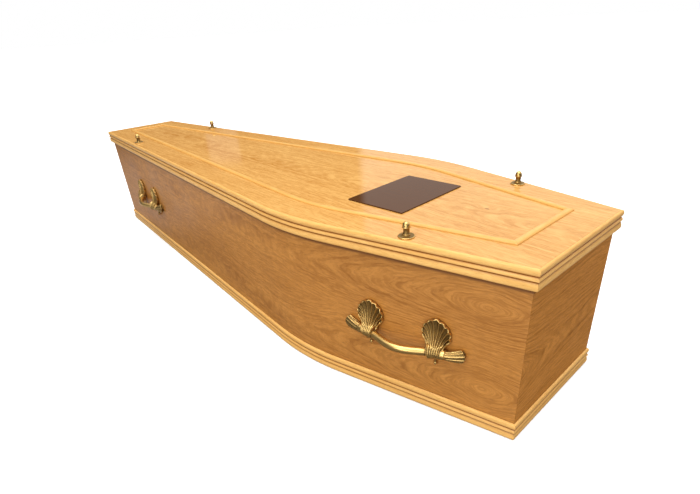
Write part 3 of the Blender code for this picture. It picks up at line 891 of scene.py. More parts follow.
def half_oval(share, peak=0.5):
    """A rounded bulge over 0..1 that rises from 0 to 1 at the peak and falls to 0 again."""
    reach = (peak - share) / peak if share < peak else (share - peak) / (1 - peak)
    return max(0.0, 1 - reach ** 2) ** 0.5


def closing_in(step, steps):
    """Shares of the way from 0 to 1 that lie closer together towards both ends."""
    return (1 - math.cos(math.pi * step / steps)) / 2


def moulding_outline():
    """The reeded section, with its back on 0 and its foot at 0."""
    points = [(0.0, MOULDING_HEIGHT, 0.0)]
    for start, end, peak, steps in REEDS:
        for step in range(steps + 1):
            share = closing_in(step, steps)
            sunk = 1 - half_oval(share, peak)
            under = max(0.0, share - peak) / (1 - peak)
            # Painted shade: full in the grooves and part of it over the lower half of each reed.
            hollow = max(sunk, LOWER_HALF_SHADE * under)
            # The upper half of the bullnose has no groove above it.
            if start == 0 and share < peak:
                hollow = 0.0
            points.append((MOULDING_DEPTH - GROOVE * sunk,
                           MOULDING_HEIGHT - lerp(start, end, share), hollow))
    return points + [(0.0, 0.0, 1.0)]


moulding_section = section_object("moulding_section", moulding_outline())
strips("base_moulding", moulding_section, GAP, 0.0, strip_wood)
strips("lid_moulding", moulding_section, LID_OVERHANG, HEIGHT - MOULDING_HEIGHT, strip_wood)

# %% [markdown]
# ## The raised bead
#
# Set in from the edge of the lid, a low rounded strip frames the panel. It is a planted strip,
# not a carved one, and in a low light its crest is the brightest line on the lid. It is the same
# tree with a small domed section, whose foot is on the lid.

# %% Bead
BEAD_INSET = 0.075
BEAD_WIDTH = 0.016
BEAD_HEIGHT = 0.0042
BEAD_STEPS = 20
bead_out = LID_OVERHANG + MOULDING_DEPTH - BEAD_INSET


def bead_outline():
    """The domed section, with painted shade that grows towards both of its feet."""
    shares = [closing_in(step, BEAD_STEPS) for step in range(BEAD_STEPS + 1)]
    return [(-BEAD_WIDTH * share, BEAD_HEIGHT * half_oval(share), abs(2 * share - 1) ** 1.5)
            for share in shares]


bead_section = section_object("bead_section", bead_outline())
strips("lid_bead", bead_section, bead_out, HEIGHT + GAP, bead_wood)
for used_section in (board_section, moulding_section, bead_section):
    bpy.data.objects.remove(used_section)

# %% [markdown]
# ## The name plate
#
# A thin metal plate is laid on the lid near the head, a little turned, as it was by hand. It is a
# rolled sheet with softly rounded corners and an eased rim that catches a thin line of light.
# The Bevel tool rounds the four upright edges first, and then the top rim.

# %% Name plate
PLATE_X, PLATE_Y = 0.5615, -0.010
PLATE_SIZE = (0.157, 0.222, 0.0025)
PLATE_TURN = math.radians(2.2)
PLATE_CORNER, PLATE_RIM = 0.0016, 0.0004

work = bmesh.new()
bmesh.ops.create_cube(work, size=1.0)
bmesh.ops.scale(work, vec=PLATE_SIZE, verts=work.verts)
upright = [edge for edge in work.edges if abs(edge.verts[0].co.z - edge.verts[1].co.z) > 0.001]
bmesh.ops.bevel(work, geom=upright, offset=PLATE_CORNER, segments=5, profile=0.5, affect="EDGES")
rim = [edge for edge in work.edges if min(vert.co.z for vert in edge.verts) > 0.001]
bmesh.ops.bevel(work, geom=rim, offset=PLATE_RIM, segments=3, profile=0.5, affect="EDGES")
spot = Matrix.Translation((PLATE_X, PLATE_Y, HEIGHT + GAP + PLATE_SIZE[2] / 2))
bmesh.ops.transform(work, matrix=spot @ Matrix.Rotation(PLATE_TURN, 4, "Z"), verts=work.verts)
plate_mesh = outward(poured("bare_plate", work), 8)
settle("bare_plate", plate_mesh, dark_plate, "name_plate")
print("plate", len(plate_mesh.polygons), "faces")

# %% [markdown]
# ## How deep a hollow is
#
# To darken the hollows of a casting, each point is compared with its surroundings. The mesh is
# smoothed on paper a number of times, and a point that the smoothed skin would cover lies in a
# hollow, while one that stands out of it is on a crest. The distance between the two, along the
# surface's own direction, becomes a number from 0 on a crest to 1 in a hollow. The rim where a
# casting sits on the wall also counts as 1, as painted shade.

# %% Measure hollows
SEAT_FADE = 0.7


def mark_hollows_and_shade(mesh, rounds, depth, seat=0.0):
    """Stores each point's hollow and painted shade as an attribute. A hollow as deep as depth counts
    as 1. So does the rim of a casting on the wall, as painted shade, up to half the height of seat,
    and it fades out by about twice seat."""
    count = len(mesh.vertices)
    places, normals = np.empty((count, 3), np.float32), np.empty((count, 3), np.float32)
    mesh.vertices.foreach_get("co", places.ravel())
    mesh.vertices.foreach_get("normal", normals.ravel())
    ends = np.empty(2 * len(mesh.edges), np.int32)
    mesh.edges.foreach_get("vertices", ends)
    ends = ends.reshape(-1, 2)
    ends = np.concatenate([ends, ends[:, ::-1]])
    neighbours = np.maximum(np.bincount(ends[:, 0], minlength=count), 1)
    smooth = places.astype(float)
    for _ in range(rounds):
        around = [np.bincount(ends[:, 0], smooth[ends[:, 1], axis], count) for axis in range(3)]
        smooth = (smooth + np.stack(around, 1) / neighbours[:, None]) / 2
    sunk = ((smooth - places) * normals).sum(1) / depth
    values = 0.5 + 0.5 * sunk
    # Painted shade on the rim where the casting sits on the wall.
    if seat:
        values = np.maximum(values, 1.0 + SEAT_FADE * (places[:, 1] + seat / 2) / seat)
    values = np.clip(values, 0.0, 1.0).astype(np.float32)
    mesh.attributes.new("hollow", "FLOAT", "POINT").data.foreach_set("value", values)
    print(mesh.name, "has", round(100 * float((values > 0.5).mean())), "% of its points in hollows")


print("a flat stretch counts as 0.5, halfway between crest and hollow")

# %% [markdown]
# ## Turning
#
# A turned thing is its outline spun round an axis, as on a lathe. The outline is a list of
# radius and height from the top down, and its domes, rings and rims are all parts of ovals,
# which one helper makes. Where the radius is 0 the row is a single point, so the piece is closed
# without a seam.

# %% Turning
TURNED_STEPS = 48


def oval_part(radius, swell, height, rise, sweep, steps, start=0.0):
    """Points of (radius, height) on a part of an oval, from its top down."""
    points = []
    for step in range(steps + 1):
        angle = lerp(start, sweep, step / steps)
        points.append((radius + swell * math.sin(angle), height + rise * math.cos(angle)))
    return points


def turned(name, profile, steps=TURNED_STEPS):
    """Spins a profile of (radius, height), from top to bottom, round the Z axis."""
    work = bmesh.new()
    rows = []
    for radius, height in profile:
        if radius == 0:
            rows.append([work.verts.new((0.0, 0.0, height))] * steps)
            continue
        row = []
        for step in range(steps):
            angle = 2 * math.pi * step / steps
            row.append(work.verts.new((radius * math.cos(angle), radius * math.sin(angle), height)))
        rows.append(row)
    for upper, lower in zip(rows, rows[1:]):
        for here in range(steps):
            there = (here + 1) % steps
            corners = dict.fromkeys((upper[here], lower[here], lower[there], upper[there]))
            work.faces.new(list(corners))
    return poured(name, work)


print("turned pieces have", TURNED_STEPS, "steps round")

# %% [markdown]
# ## The screw caps
#
# Four turned brass caps hold the lid: a flat flange, a waisted stem and a domed knob with a small
# ring at its foot. They stand on the lid's border, above the middles of the handles.

# %% Screw caps
HEAD_STATION = 0.728
FOOT_STATION = -0.622
FINIAL_INSET = 0.024
FLANGE_RADIUS = 0.0165
HUB_RADIUS = 0.0078
STEM_RADIUS = 0.0060
KNOB_RADIUS = 0.0082
FINIAL_HEIGHT = 0.0300


def cap_profile():
    """The cap's outline. Its heights are shares of the whole height."""
    dome = oval_part(0.0, 0.93 * KNOB_RADIUS, 0.68, 0.32, math.pi / 2, 10)
    ring = oval_part(0.95 * KNOB_RADIUS, 0.05 * KNOB_RADIUS, 0.62, 0.035, math.pi, 4)
    stem = [(1.05 * STEM_RADIUS, 0.555), (STEM_RADIUS, 0.50), (STEM_RADIUS, 0.24)]
    hub = oval_part(0.93 * HUB_RADIUS, 0.07 * HUB_RADIUS, 0.155, 0.045, math.pi, 6)
    sweep = [(1.15 * HUB_RADIUS, 0.075), (0.84 * FLANGE_RADIUS, 0.070)]
    flange = oval_part(0.92 * FLANGE_RADIUS, 0.08 * FLANGE_RADIUS, 0.035, 0.050, math.pi / 2, 5)
    foot = [(0.985 * FLANGE_RADIUS, 0.0), (0.0, 0.0)]
    outline = dome + ring + stem + hub + sweep + flange + foot
    return [(radius, share * FINIAL_HEIGHT) for radius, share in outline]


for end, station in (("head", HEAD_STATION), ("foot", FOOT_STATION)):
    inset = half_width(station, LID_OVERHANG + MOULDING_DEPTH) - FINIAL_INSET
    for side, sign in (("right", -1), ("left", 1)):
        mesh = outward(turned("turned_cap_" + side + "_" + end, cap_profile()), 50)
        mark_hollows_and_shade(mesh, 12, 0.0007)
        mesh.transform(Matrix.Translation((station, sign * inset, HEIGHT + GAP)))
        settle(mesh.name, mesh, brass, "finial_" + side + "_" + end)

# %% [markdown]
# ## The handle: one curve, many rods
#
# A handle is a single casting, but the pattern it was cast from was built up of rods: the bowed
# bar with its bound collars, the ribs that run up each shell, and the ribs of the flared ends.
# Geometry Nodes can lay all of them with one small tree. It turns edges into curves, sweeps a
# circle along them and scales it by each point's own "girth". Two more numbers shape the
# bindings of the collars: "lean" draws their lower halves together, and "bound" raises their
# upper halves and lays them back against the shell.
#
# In the handle's own frame x runs along the wall, y is negative out of the wall, and z is up.

# %% Rod tree
COLLAR_TALL = 0.50
COLLAR_BACK = 0.35
LEAN_FROM = 0.4

rod_tree, given, rod_end = geometry_tree("rod_along_line", {"Sides": "Int", "Material": "Material"})
line, (girth, lean, bound, on_line) = capture(
    rod_tree, as_curve(rod_tree, given["Line"]), girth=("FLOAT", named(rod_tree, "girth")),
    lean=("FLOAT", named(rod_tree, "lean")), bound=("FLOAT", named(rod_tree, "bound")),
    on_line=("VECTOR", position(rod_tree)))
circle = add(rod_tree, "GeometryNodeCurvePrimitiveCircle",
             {"Resolution": given["Sides"], "Radius": 1.0}).outputs[0]
rod = add(rod_tree, "GeometryNodeCurveToMesh", {"Curve": line, "Profile Curve": circle,
                                                "Scale": girth, "Fill Caps": True}).outputs[0]
from_line = calculate_vector(rod_tree, "SUBTRACT", position(rod_tree), on_line)
rise = calculate(rod_tree, "DIVIDE", axes(rod_tree, from_line)["Z"], girth)
upper = calculate(rod_tree, "MULTIPLY", calculate(rod_tree, "MAXIMUM", rise, 0.0), bound)
lower = calculate(rod_tree, "MINIMUM", calculate(rod_tree, "SUBTRACT", rise, LEAN_FROM), 0.0)
tall = calculate(rod_tree, "MULTIPLY", upper, girth)
back = calculate(rod_tree, "MULTIPLY", calculate(rod_tree, "MULTIPLY", upper, upper), girth)
shape = vector(rod_tree, X=calculate(rod_tree, "MULTIPLY", lower, lean),
               Y=calculate(rod_tree, "MULTIPLY", back, COLLAR_BACK),
               Z=calculate(rod_tree, "MULTIPLY", tall, COLLAR_TALL))
finished(rod_tree, moved(rod_tree, rod, Offset=shape), given["Material"], rod_end)

# %% [markdown]
# ## Lines for the rods
#
# Many rods can share one mesh of lines, because the tree sweeps every separate line in it. So
# each part of the handle only has to list its points with their numbers.

# %% Rods
def rods(name, lines, sides):
    """One mesh of rods. Each line is a list of (point, girth) or (point, girth, lean, bound)."""
    points, edges = [], []
    numbers = {"girth": [], "lean": [], "bound": []}
    for line in lines:
        first = len(points)
        edges += [(first + here, first + here + 1) for here in range(len(line) - 1)]
        for point, girth, *collar in line:
            points.append(point)
            for label, value in zip(numbers, (girth, *(collar or (0.0, 0.0)))):
                numbers[label].append(value)
    mesh = bpy.data.meshes.new(name)
    mesh.from_pydata(points, edges, [])
    for label, values in numbers.items():
        mesh.attributes.new(label, "FLOAT", "POINT").data.foreach_set("value", values)
    return outward(grown(name, mesh, rod_tree, {"Sides": sides, "Material": brass}))


print("rods read girth, lean and bound from their points")

# %% [markdown]
# ## The bar and its bindings
#
# The bar bows out from the wall between the two shells and runs back to it at both ends. Its
# girth along the way is the whole design: slim in the middle, then six rounded bindings at
# each collar, then a plain boss, and a groove before the flared end. Each binding leans a little
# more than the one before it, so together they spread like a fan towards the shell.

# %% Bar
HANDLE_SHIFT = 0.0020
GRIP_Z = 0.1600
GRIP_RADIUS = 0.0086
BOW, BOW_HALF_LENGTH = 0.0200, 0.0850
TAIL, TAIL_HALF_LENGTH = 0.0170, 0.1500
BRACKET_X = 0.0765
COLLAR_HALF_LENGTH = 0.0155
COLLAR_OUTER_LENGTH = 0.0130
COLLAR_RADIUS = 0.0105
COLLAR_RIDGE = 0.0018
COLLAR_FAN = 0.45
BINDINGS = 6
BOSS_RADIUS = 0.0107
BOSS_END_X = 0.0995
BOSS_GROOVE, BOSS_GROOVE_WIDTH = 0.0016, 0.0004
BAR_OVERLAP = 0.002
BAR_STEPS = 420


def grip_out(x):
    """How far the bar's middle line stands out of the wall."""
    out = TAIL * (1 - abs(x / TAIL_HALF_LENGTH) ** 3)
    if abs(x) < BOW_HALF_LENGTH:
        out += BOW * math.cos(math.pi / 2 * x / BOW_HALF_LENGTH) ** 2
    return out


def bar_girth(x):
    from_bracket = abs(x) - BRACKET_X
    if from_bracket < -COLLAR_HALF_LENGTH:
        return GRIP_RADIUS
    if from_bracket <= COLLAR_OUTER_LENGTH:
        share = (from_bracket + COLLAR_HALF_LENGTH) / (COLLAR_HALF_LENGTH + COLLAR_OUTER_LENGTH)
        return COLLAR_RADIUS + COLLAR_RIDGE * abs(math.cos(math.pi * BINDINGS * share)) ** 0.9
    if abs(x) < BOSS_END_X - BOSS_GROOVE_WIDTH:
        return BOSS_RADIUS
    return BOSS_RADIUS - BOSS_GROOVE


def bar_line():
    """Points along the bar. Only those on a collar lean and are bound."""
    line = []
    end_x = BOSS_END_X + BAR_OVERLAP
    for step in range(BAR_STEPS + 1):
        x = lerp(-end_x, end_x, step / BAR_STEPS)
        from_bracket = abs(x) - BRACKET_X
        bound = 1.0 if -COLLAR_HALF_LENGTH <= from_bracket <= COLLAR_OUTER_LENGTH else 0.0
        lean = COLLAR_FAN * math.copysign(1.0, x) * from_bracket * bound
        line.append(((x, -grip_out(x), GRIP_Z), bar_girth(x), lean, bound))
    return line


bar = rods("bar", [bar_line()], 40)
print("bar", len(bar.polygons), "faces")

# %% [markdown]
# ## The shells
#
# Above each collar a fan of nine gutters spreads on the wall, like a scallop. Between the gutters
# run thin ribs, stouter at the two borders, and each gutter ends in a round lobe with a rolled
# lip. One rule gives any point of the fan from two shares, across and up. The hollow plate, the
# ribs and the lip all read it, so they can't part. Towards the neck the fan lifts off the wall,
# until its gutters run up onto the collar.

# %% Shell rule
SHELL_Z = 0.1995
SHELL_RADIUS = 0.0308
SHELL_PEAK, PEAK_WIDTH = 0.0025, 0.35
SHELL_SPREAD = math.radians(118)
SHELL_SCALLOP = 0.055
SHELL_GUTTERS = 9
SHELL_NECK_Z = 0.1625
SHELL_NECK_HALF = 0.0165
SHELL_OUT = 0.0022
SHELL_RIM_CURL = 0.0038
SHELL_LIFT = 0.0225
SHELL_GUTTER_DEPTH = 0.0028


def gutter_share(across):
    """0 on a rib and 1 in the middle of a gutter."""
    return abs(math.sin(math.pi * SHELL_GUTTERS * (across + 1) / 2))


def shell_point(across, up):
    """A point of the fan, from neck (up 0) to rim (up 1), across -1 to 1."""
    gutter = gutter_share(across)
    angle = SHELL_SPREAD * across
    radius = SHELL_RADIUS + SHELL_PEAK * math.exp(-((angle / PEAK_WIDTH) ** 2))
    radius *= 1 - SHELL_SCALLOP * (1 - gutter ** 0.6)
    x = lerp(SHELL_NECK_HALF * across, radius * math.sin(angle), up ** 2.2)
    z = lerp(SHELL_NECK_Z, SHELL_Z + radius * math.cos(angle), up)
    out = SHELL_OUT + SHELL_LIFT * (1 - up) ** 2 * (1 - 0.25 * across ** 4)
    out += SHELL_RIM_CURL * max(up ** 4, across ** 8 * up)
    out += SHELL_GUTTER_DEPTH * (1 - gutter ** 2) * min(1.0, 0.4 + up)
    return Vector((x, -out, z))


print("a shell is", round(1000 * (shell_point(0, 1) - shell_point(0, 0)).z), "mm tall")

# %% [markdown]
# ## Plates and ribs of the shells
#
# The plate is woven between rows of points on the rule and closed by a flat back. The ribs and
# the lip are rods on the same rule, and the lip swells over each gutter.

# %% Shells
SHELL_ROWS, RIB_STEPS = 24, 30
RIB_GIRTH, RIM_RIB_GIRTH, BORDER_GIRTH = 0.00125, 0.00105, 0.0019
LIP_GIRTH, LIP_SWELL, LIP_UP = 0.0010, 0.0008, 0.985


def weave(work, near, far, closed=False):
    """Faces between two rows of points, joined at their ends where they are closed."""
    count = len(near)
    for here in range(count if closed else count - 1):
        there = (here + 1) % count
        work.faces.new((near[here], near[there], far[there], far[here]))


def shell_plate(centre):
    """The fan as a closed solid: a guttered front over a flat back."""
    columns = 10 * SHELL_GUTTERS
    shift = Vector((centre, 0.0, 0.0))
    work = bmesh.new()
    front = [[work.verts.new(shell_point(2 * column / columns - 1, row / SHELL_ROWS) + shift)
              for column in range(columns + 1)] for row in range(SHELL_ROWS + 1)]
    for lower, upper in zip(front, front[1:]):
        weave(work, lower, upper)
    border = front[0] + [line[-1] for line in front[1:]]
    border += front[-1][-2::-1] + [line[0] for line in front[-2:0:-1]]
    back = [work.verts.new((vert.co.x, -GAP, vert.co.z)) for vert in border]
    weave(work, back, border, closed=True)
    work.faces.new(back)
    return outward(poured("shell_plate", work))


def shell_ribs(centre):
    shift = Vector((centre, 0.0, 0.0))
    lines = []
    for rib in range(SHELL_GUTTERS + 1):
        across = 2 * rib / SHELL_GUTTERS - 1
        rim_girth = RIM_RIB_GIRTH if abs(across) < 1 else BORDER_GIRTH
        ups = [step / RIB_STEPS for step in range(RIB_STEPS + 1)]
        lines.append([(shell_point(across, up) + shift, lerp(RIB_GIRTH, rim_girth, up))
                      for up in ups])
    lip_steps = 12 * SHELL_GUTTERS
    acrosses = [2 * step / lip_steps - 1 for step in range(lip_steps + 1)]
    lines.append([(shell_point(across, LIP_UP) + shift,
                   LIP_GIRTH + LIP_SWELL * gutter_share(across)) for across in acrosses])
    return rods("shell_ribs", lines, 10)


shell_parts = [make(side * BRACKET_X) for side in (-1, 1) for make in (shell_plate, shell_ribs)]
print("shell rods", len(shell_parts[1].polygons), "faces")

# %% [markdown]
# ## The flared ends
#
# Beyond each boss the bar ends in a flare of ribs that lies against the wall, flattened like a
# brush. It follows the bar's own curve back to the wall. Its ring of points is reached by an
# angle and a share of the way, again with ribs between gutters and a round lobe at each end.

# %% Flare rule
TASSEL_X = 0.0985
TASSEL_END_X = 0.1300
TASSEL_CROWN = 0.0075
TASSEL_LOBE = 0.0016
TASSEL_RISE = 0.0040
TASSEL_HEIGHTS = (0.0088, 0.0104, 0.0130, 0.0150)
TASSEL_DEPTHS = (0.0088, 0.0084, 0.0074, 0.0062)
TASSEL_GUTTERS = 11
TASSEL_GROOVE = 0.07
SLOPE_STEP = 0.001


def between(values, share):
    """A value on the way through evenly spaced values."""
    place = min(share * (len(values) - 1), len(values) - 1.0001)
    number = int(place)
    return lerp(values[number], values[number + 1], place - number)


def flare_point(side, angle, share):
    """A point of the flare, from the boss (share 0) to the end (share 1), round by the angle."""
    gutter = abs(math.sin(TASSEL_GUTTERS * angle / 2))
    reach = 1 - TASSEL_GROOVE * share ** 0.5 * gutter ** 1.5
    crown = TASSEL_CROWN * share ** 2 * math.cos(angle) ** 2
    lobe = TASSEL_LOBE * share ** 3 * gutter ** 0.6
    x = lerp(TASSEL_X, TASSEL_END_X, share) + crown + lobe
    slope = (grip_out(x + SLOPE_STEP) - grip_out(x - SLOPE_STEP)) / (2 * SLOPE_STEP)
    level = Vector((side * slope, 1.0, 0.0)).normalized()
    middle = Vector((side * x, -grip_out(x), GRIP_Z + TASSEL_RISE * share ** 2))
    point = middle + level * (reach * between(TASSEL_DEPTHS, share) * math.cos(angle))
    point.z += reach * between(TASSEL_HEIGHTS, share) * math.sin(angle)
    point.y = min(point.y, -GAP)
    return point


print("a flare ends", round(1000 * flare_point(1, 0.0, 1.0).x, 1), "mm from the handle's middle")

# %% [markdown]
# ## Cores and ribs of the flared ends
#
# As on the shells, a body is woven on the rule and rods lie along its ribs and round its end.
# The end face is a little hollow, where the ribs stand past it.

# %% Flared ends
FLARE_ROWS, FLARE_RIB_STEPS = 20, 24
FLARE_DISH = 0.002
FLARE_RIB_GIRTH, FLARE_END_GIRTH, FLARE_LIP_GIRTH = 0.0006, 0.00095, 0.0007
FLARE_LIP_SHARE = 0.99


def flare_core(side):
    """The body of a flared end, closed with a slightly hollow end face."""
    around = 12 * TASSEL_GUTTERS
    work = bmesh.new()
    rings = [[work.verts.new(flare_point(side, 2 * math.pi * step / around, row / FLARE_ROWS))
              for step in range(around)] for row in range(FLARE_ROWS + 1)]
    for near, far in zip(rings, rings[1:]):
        weave(work, near, far, closed=True)
    for ring, dish in ((rings[0], 0.0), (rings[-1], FLARE_DISH)):
        middle = sum((vert.co for vert in ring), Vector()) / around
        middle.x -= side * dish
        centre = work.verts.new(middle)
        for here in range(around):
            work.faces.new((ring[here], ring[(here + 1) % around], centre))
    return outward(poured("flare_core", work))


def flare_ribs(side):
    lines = []
    shares = [step / FLARE_RIB_STEPS for step in range(FLARE_RIB_STEPS + 1)]
    for rib in range(TASSEL_GUTTERS):
        angle = 2 * math.pi * rib / TASSEL_GUTTERS
        lines.append([(flare_point(side, angle, share),
                       lerp(FLARE_RIB_GIRTH, FLARE_END_GIRTH, share)) for share in shares])
    around = 10 * TASSEL_GUTTERS
    angles = [2 * math.pi * step / around for step in range(around + 1)]
    lines.append([(flare_point(side, angle, FLARE_LIP_SHARE), FLARE_LIP_GIRTH)
                  for angle in angles])
    return rods("flare_ribs", lines, 10)


flare_parts = [make(side) for side in (-1, 1) for make in (flare_core, flare_ribs)]
print("flare cores", len(flare_parts[0].polygons), "faces")

# %% [markdown]
# ## The drops
#
# Below each collar hangs a small turned drop, close to the wall: a neck that narrows downwards
# and a bead at its foot.

# %% Drops
DROP_Z, DROP_OUT = 0.1290, 0.0050
DROP_RADIUS, DROP_NECK = 0.0042, 0.0020
DROP_TOP_Z, DROP_TOP_RADIUS = 0.1570, 0.0044
DROP_STEPS = 24


def drop(side):
    neck_z = DROP_Z + 0.9 * DROP_RADIUS
    shares = [step / 8 for step in range(8)]
    neck = [(lerp(DROP_TOP_RADIUS, DROP_NECK, share ** 0.6), lerp(DROP_TOP_Z, neck_z, share))
            for share in shares]
    start = math.asin(DROP_NECK / DROP_RADIUS)
    bead = oval_part(0.0, DROP_RADIUS, DROP_Z, DROP_RADIUS, math.pi, 10, start)
    profile = [(0.0, DROP_TOP_Z), *neck, *bead[:-1], (0.0, DROP_Z - DROP_RADIUS)]
    mesh = outward(turned("drop", profile, DROP_STEPS))
    mesh.transform(Matrix.Translation((side * BRACKET_X, -DROP_OUT, 0.0)))
    return mesh


drops = [drop(side) for side in (-1, 1)]
print("drops", len(drops[0].polygons), "faces each")

# %% [markdown]
# ## One casting
#
# The rods and plates pass into each other, as the parts of a wax pattern do. A voxel remesh
# melts them into one skin, which also rounds every inner corner as poured metal does. It makes
# more faces than the eye needs, so they are thinned afterwards. The hollows are measured last.

# %% Cast the handle
VOXEL = 0.00055
MOST_FACES = 84000
SOFTENING, SOFTENING_ROUNDS = 0.5, 2


def cast(name, parts):
    """Melts overlapping closed meshes into one smooth skin."""
    work = bmesh.new()
    for part in parts:
        work.from_mesh(part)
    helper = placed(name + "_helper", poured(name, work))
    melt = helper.modifiers.new("Melt", "REMESH")
    melt.mode = "VOXEL"
    melt.voxel_size = VOXEL
    soften = helper.modifiers.new("Soften", "SMOOTH")
    soften.factor, soften.iterations = SOFTENING, SOFTENING_ROUNDS
    bpy.context.view_layer.update()
    graph = bpy.context.evaluated_depsgraph_get()
    dense = len(helper.evaluated_get(graph).data.polygons) * 2
    thin = helper.modifiers.new("Thin", "DECIMATE")
    thin.ratio = min(1.0, MOST_FACES / dense)
    mesh = taken_out(name, helper)
    print(name, "melted to", dense, "triangles, thinned to", len(mesh.polygons))
    return mesh


handle_mesh = outward(cast("cast_handle", [bar, *shell_parts, *flare_parts, *drops]), 60)
# The last number is the height of painted shade on the rim against the wall.
mark_hollows_and_shade(handle_mesh, 24, 0.0011, 0.0016)

# %% [markdown]
# ## Four handles on the walls
#
# The same casting is set on the wall four times. Each long side is made of two flat panels that
# meet at the bend, and the castings lie flat on them, so each is turned to the slope of its panel.

# %% Set the handles on
def wall_station(station, side):
    """The point of the side's outer face at a station, and the angle of its panel."""
    points = side_line(0.0)
    start, end = (points[-2], points[-1]) if station > SHOULDER_X else (points[0], points[1])
    along = end - start
    point = start + along * ((station - start.x) / along.x)
    angle = math.atan2(along.y, along.x)
    if side > 0:
        return Vector((point.x, point.y, 0.0)), math.pi + angle
    return Vector((point.x, -point.y, 0.0)), -angle


for end, station in (("head", HEAD_STATION), ("foot", FOOT_STATION)):
    for side, sign in (("right", -1), ("left", 1)):
        point, angle = wall_station(station + HANDLE_SHIFT, sign)
        mesh = handle_mesh.copy()
        mesh.name = "cast_handle_" + side + "_" + end
        mesh.transform(Matrix.Translation(point) @ Matrix.Rotation(angle, 4, "Z"))
        settle(mesh.name, mesh, brass, "handle_" + side + "_" + end)
        print(mesh.name, "at", [round(value, 3) for value in point])

# %% [markdown]
# ## The floor
#
# The coffin stands on a plain pale floor that looks white to the camera but throws less light
# back on the wood. A paler sheet of floor beyond the foot only shows in the varnish of the long
# side, as a veil. The material can tell these apart by the kind of ray that asks for its colour.

# %% Floor
FLOOR_HALF, FLOOR_Z = 60, -0.0004
SHOWN_WHITES = ((0.93, 0.93, 0.93, 1.0), (0.95, 0.95, 0.95, 1.0))
GLOSSED_FLOOR, GLOSSED_SHEET = (0.14, 0.13, 0.12, 1.0), (0.42, 0.42, 0.43, 1.0)
SHEET_NEAR_EDGE, SHEET_FAR_EDGE = (-0.95, -0.45), (-2.7, -2.0)
BOUNCING_FLOOR = (0.46, 0.46, 0.46, 1.0)
CAMERA_GLOW = (0.30, 0.30, 0.30, 1.0)
BLACK, WHITE = (0.0, 0.0, 0.0, 1.0), (1.0, 1.0, 1.0, 1.0)

floor_mesh = bpy.data.meshes.new("studio_floor")
corners = [(x * FLOOR_HALF, y * FLOOR_HALF, FLOOR_Z) for x, y in ((-1, -1), (1, -1), (1, 1), (-1, 1))]
floor_mesh.from_pydata(corners, [], [(0, 1, 2, 3)])
studio_floor = placed("studio_floor", floor_mesh)
pale, tree, surface = finish("pale_floor")
place = plain_coordinates(tree)
shown = blend(tree, noise(tree, place, (3.0, 3.0, 3.0), 3.0), *SHOWN_WHITES)
along = axes(tree, place)["X"]
sheet = calculate(tree, "MULTIPLY", ease(tree, along, *SHEET_NEAR_EDGE, 1.0, 0.0),
                  ease(tree, along, *SHEET_FAR_EDGE))
glossed = blend(tree, sheet, GLOSSED_FLOOR, GLOSSED_SHEET)
ray = add(tree, "ShaderNodeLightPath").outputs
unseen = blend(tree, ray["Is Diffuse Ray"], glossed, BOUNCING_FLOOR)
lit = blend(tree, ray["Is Camera Ray"], BLACK, CAMERA_GLOW)
tree.links.new(blend(tree, ray["Is Camera Ray"], unseen, shown), surface.inputs["Base Color"])
tree.links.new(lit, surface.inputs["Emission Color"])
surface.inputs["Emission Strength"].default_value = 1.0
surface.inputs["Roughness"].default_value = 0.9
surface.inputs["Specular IOR Level"].default_value = 0.0
floor_mesh.materials.append(pale)
print("floor", 2 * FLOOR_HALF, "m wide")

# %% [markdown]
# ## The room
#
# Lacquer shows what surrounds it, so the surroundings matter as much as the lamps. A room with a
# bright ceiling and dim walls gives the lid its brightness and leaves its gloss clear. Two pale
# windows in the far wall only show as patches in the lacquer of the lid and in the plate. Each
# is a range of compass turns and of heights above the horizon, in degrees, with a soft edge.

# %% Room
CEILING = (0.28, 0.92, 0.04, 1.30)
WIDE_WINDOW, WIDE_WINDOW_GLOW = (40.0, 136.3, -5.0, 45.0, 0.6), 0.75
SLIM_WINDOW, SLIM_WINDOW_GLOW = (150.3, 153.7, 9.7, 13.7, 0.3), 0.28
ROOM_TINT = (1.0, 0.99, 0.98)

bpy.context.scene.view_settings.view_transform = "Standard"
room = bpy.data.worlds.new("room")
bpy.context.scene.world = room
room.use_nodes = True
tree = room.node_tree
way = axes(tree, add(tree, "ShaderNodeTexCoord").outputs["Generated"])
turned_by = calculate(tree, "ARCTAN2", way["Y"], way["X"])
turned_by = calculate(tree, "MULTIPLY", turned_by, math.degrees(1))
raised_by = calculate(tree, "MULTIPLY", calculate(tree, "ARCSINE", way["Z"]), math.degrees(1))


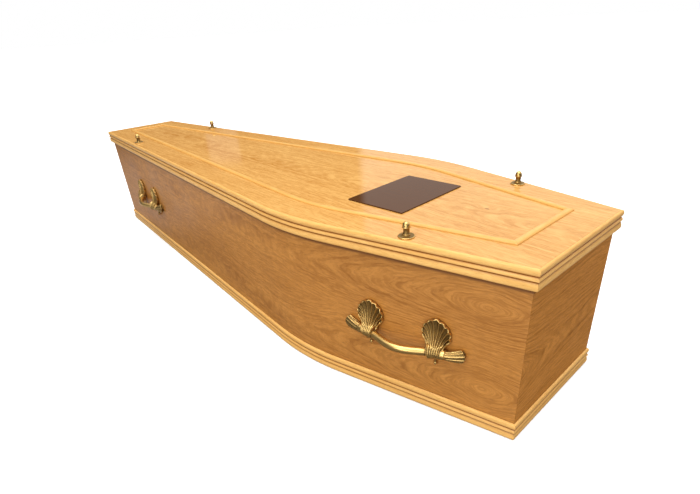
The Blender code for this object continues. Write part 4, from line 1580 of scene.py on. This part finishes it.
def window(low_turn, high_turn, low_rise, high_rise, soft):
    """1 where the direction is within the two ranges of degrees, with soft edges."""
    share = ease(tree, turned_by, low_turn - soft, low_turn + soft)
    for other in (ease(tree, turned_by, high_turn - soft, high_turn + soft, 1.0, 0.0),
                  ease(tree, raised_by, low_rise - soft, low_rise + soft),
                  ease(tree, raised_by, high_rise - 4 * soft, high_rise + soft, 1.0, 0.0)):
        share = calculate(tree, "MULTIPLY", share, other)
    return share


glow = ease(tree, way["Z"], *CEILING)
glow = calculate(tree, "MULTIPLY_ADD", window(*WIDE_WINDOW), WIDE_WINDOW_GLOW, glow)
glow = calculate(tree, "MULTIPLY_ADD", window(*SLIM_WINDOW), SLIM_WINDOW_GLOW, glow)
seen = add(tree, "ShaderNodeLightPath").outputs["Is Camera Ray"]
tree.links.new(blend(tree, seen, scaled(tree, ROOM_TINT, glow), WHITE),
               tree.nodes["Background"].inputs["Color"])
print("room has", len(tree.nodes), "nodes")

# %% [markdown]
# ## The lamps
#
# One broad soft lamp from above shapes the mouldings and lays a soft shade under the lid. Two
# panels stand in front: a wide one lights the head end, and a smaller one above the near handle
# gives its brass a highlight. Both show in gloss but not to the camera.

# %% Lamps
LAMP_ENERGY, LAMP_ANGLE = 1.75, math.radians(50)
LAMP_FROM = Vector((-0.05, -0.15, 1.0))

lamp_data = bpy.data.lights.new("soft_lamp", "SUN")
lamp_data.energy = LAMP_ENERGY
lamp_data.angle = LAMP_ANGLE
lamp = placed("soft_lamp", lamp_data)
lamp.rotation_mode = "QUATERNION"
lamp.rotation_quaternion = LAMP_FROM.to_track_quat("Z", "Y")


def panel(name, place, aim, size, radiance):
    """A soft panel that shows in gloss, with an even glow of the given radiance."""
    data = bpy.data.lights.new(name, "AREA")
    data.shape = "RECTANGLE"
    data.size, data.size_y = size
    data.energy = radiance * math.pi * size[0] * size[1]
    made = placed(name, data)
    made.location = place
    made.rotation_mode = "QUATERNION"
    made.rotation_quaternion = (Vector(place) - Vector(aim)).to_track_quat("Z", "Y")
    made.visible_camera = False


panel("end_softbox", place=(1.7, -1.9, 0.6), aim=(0.95, -0.10, 0.1), size=(1.4, 1.0), radiance=2.6)
panel("side_softbox", place=(0.85, -2.1, 1.1), aim=(0.70, -0.2, 0.15), size=(0.8, 0.6), radiance=5.6)
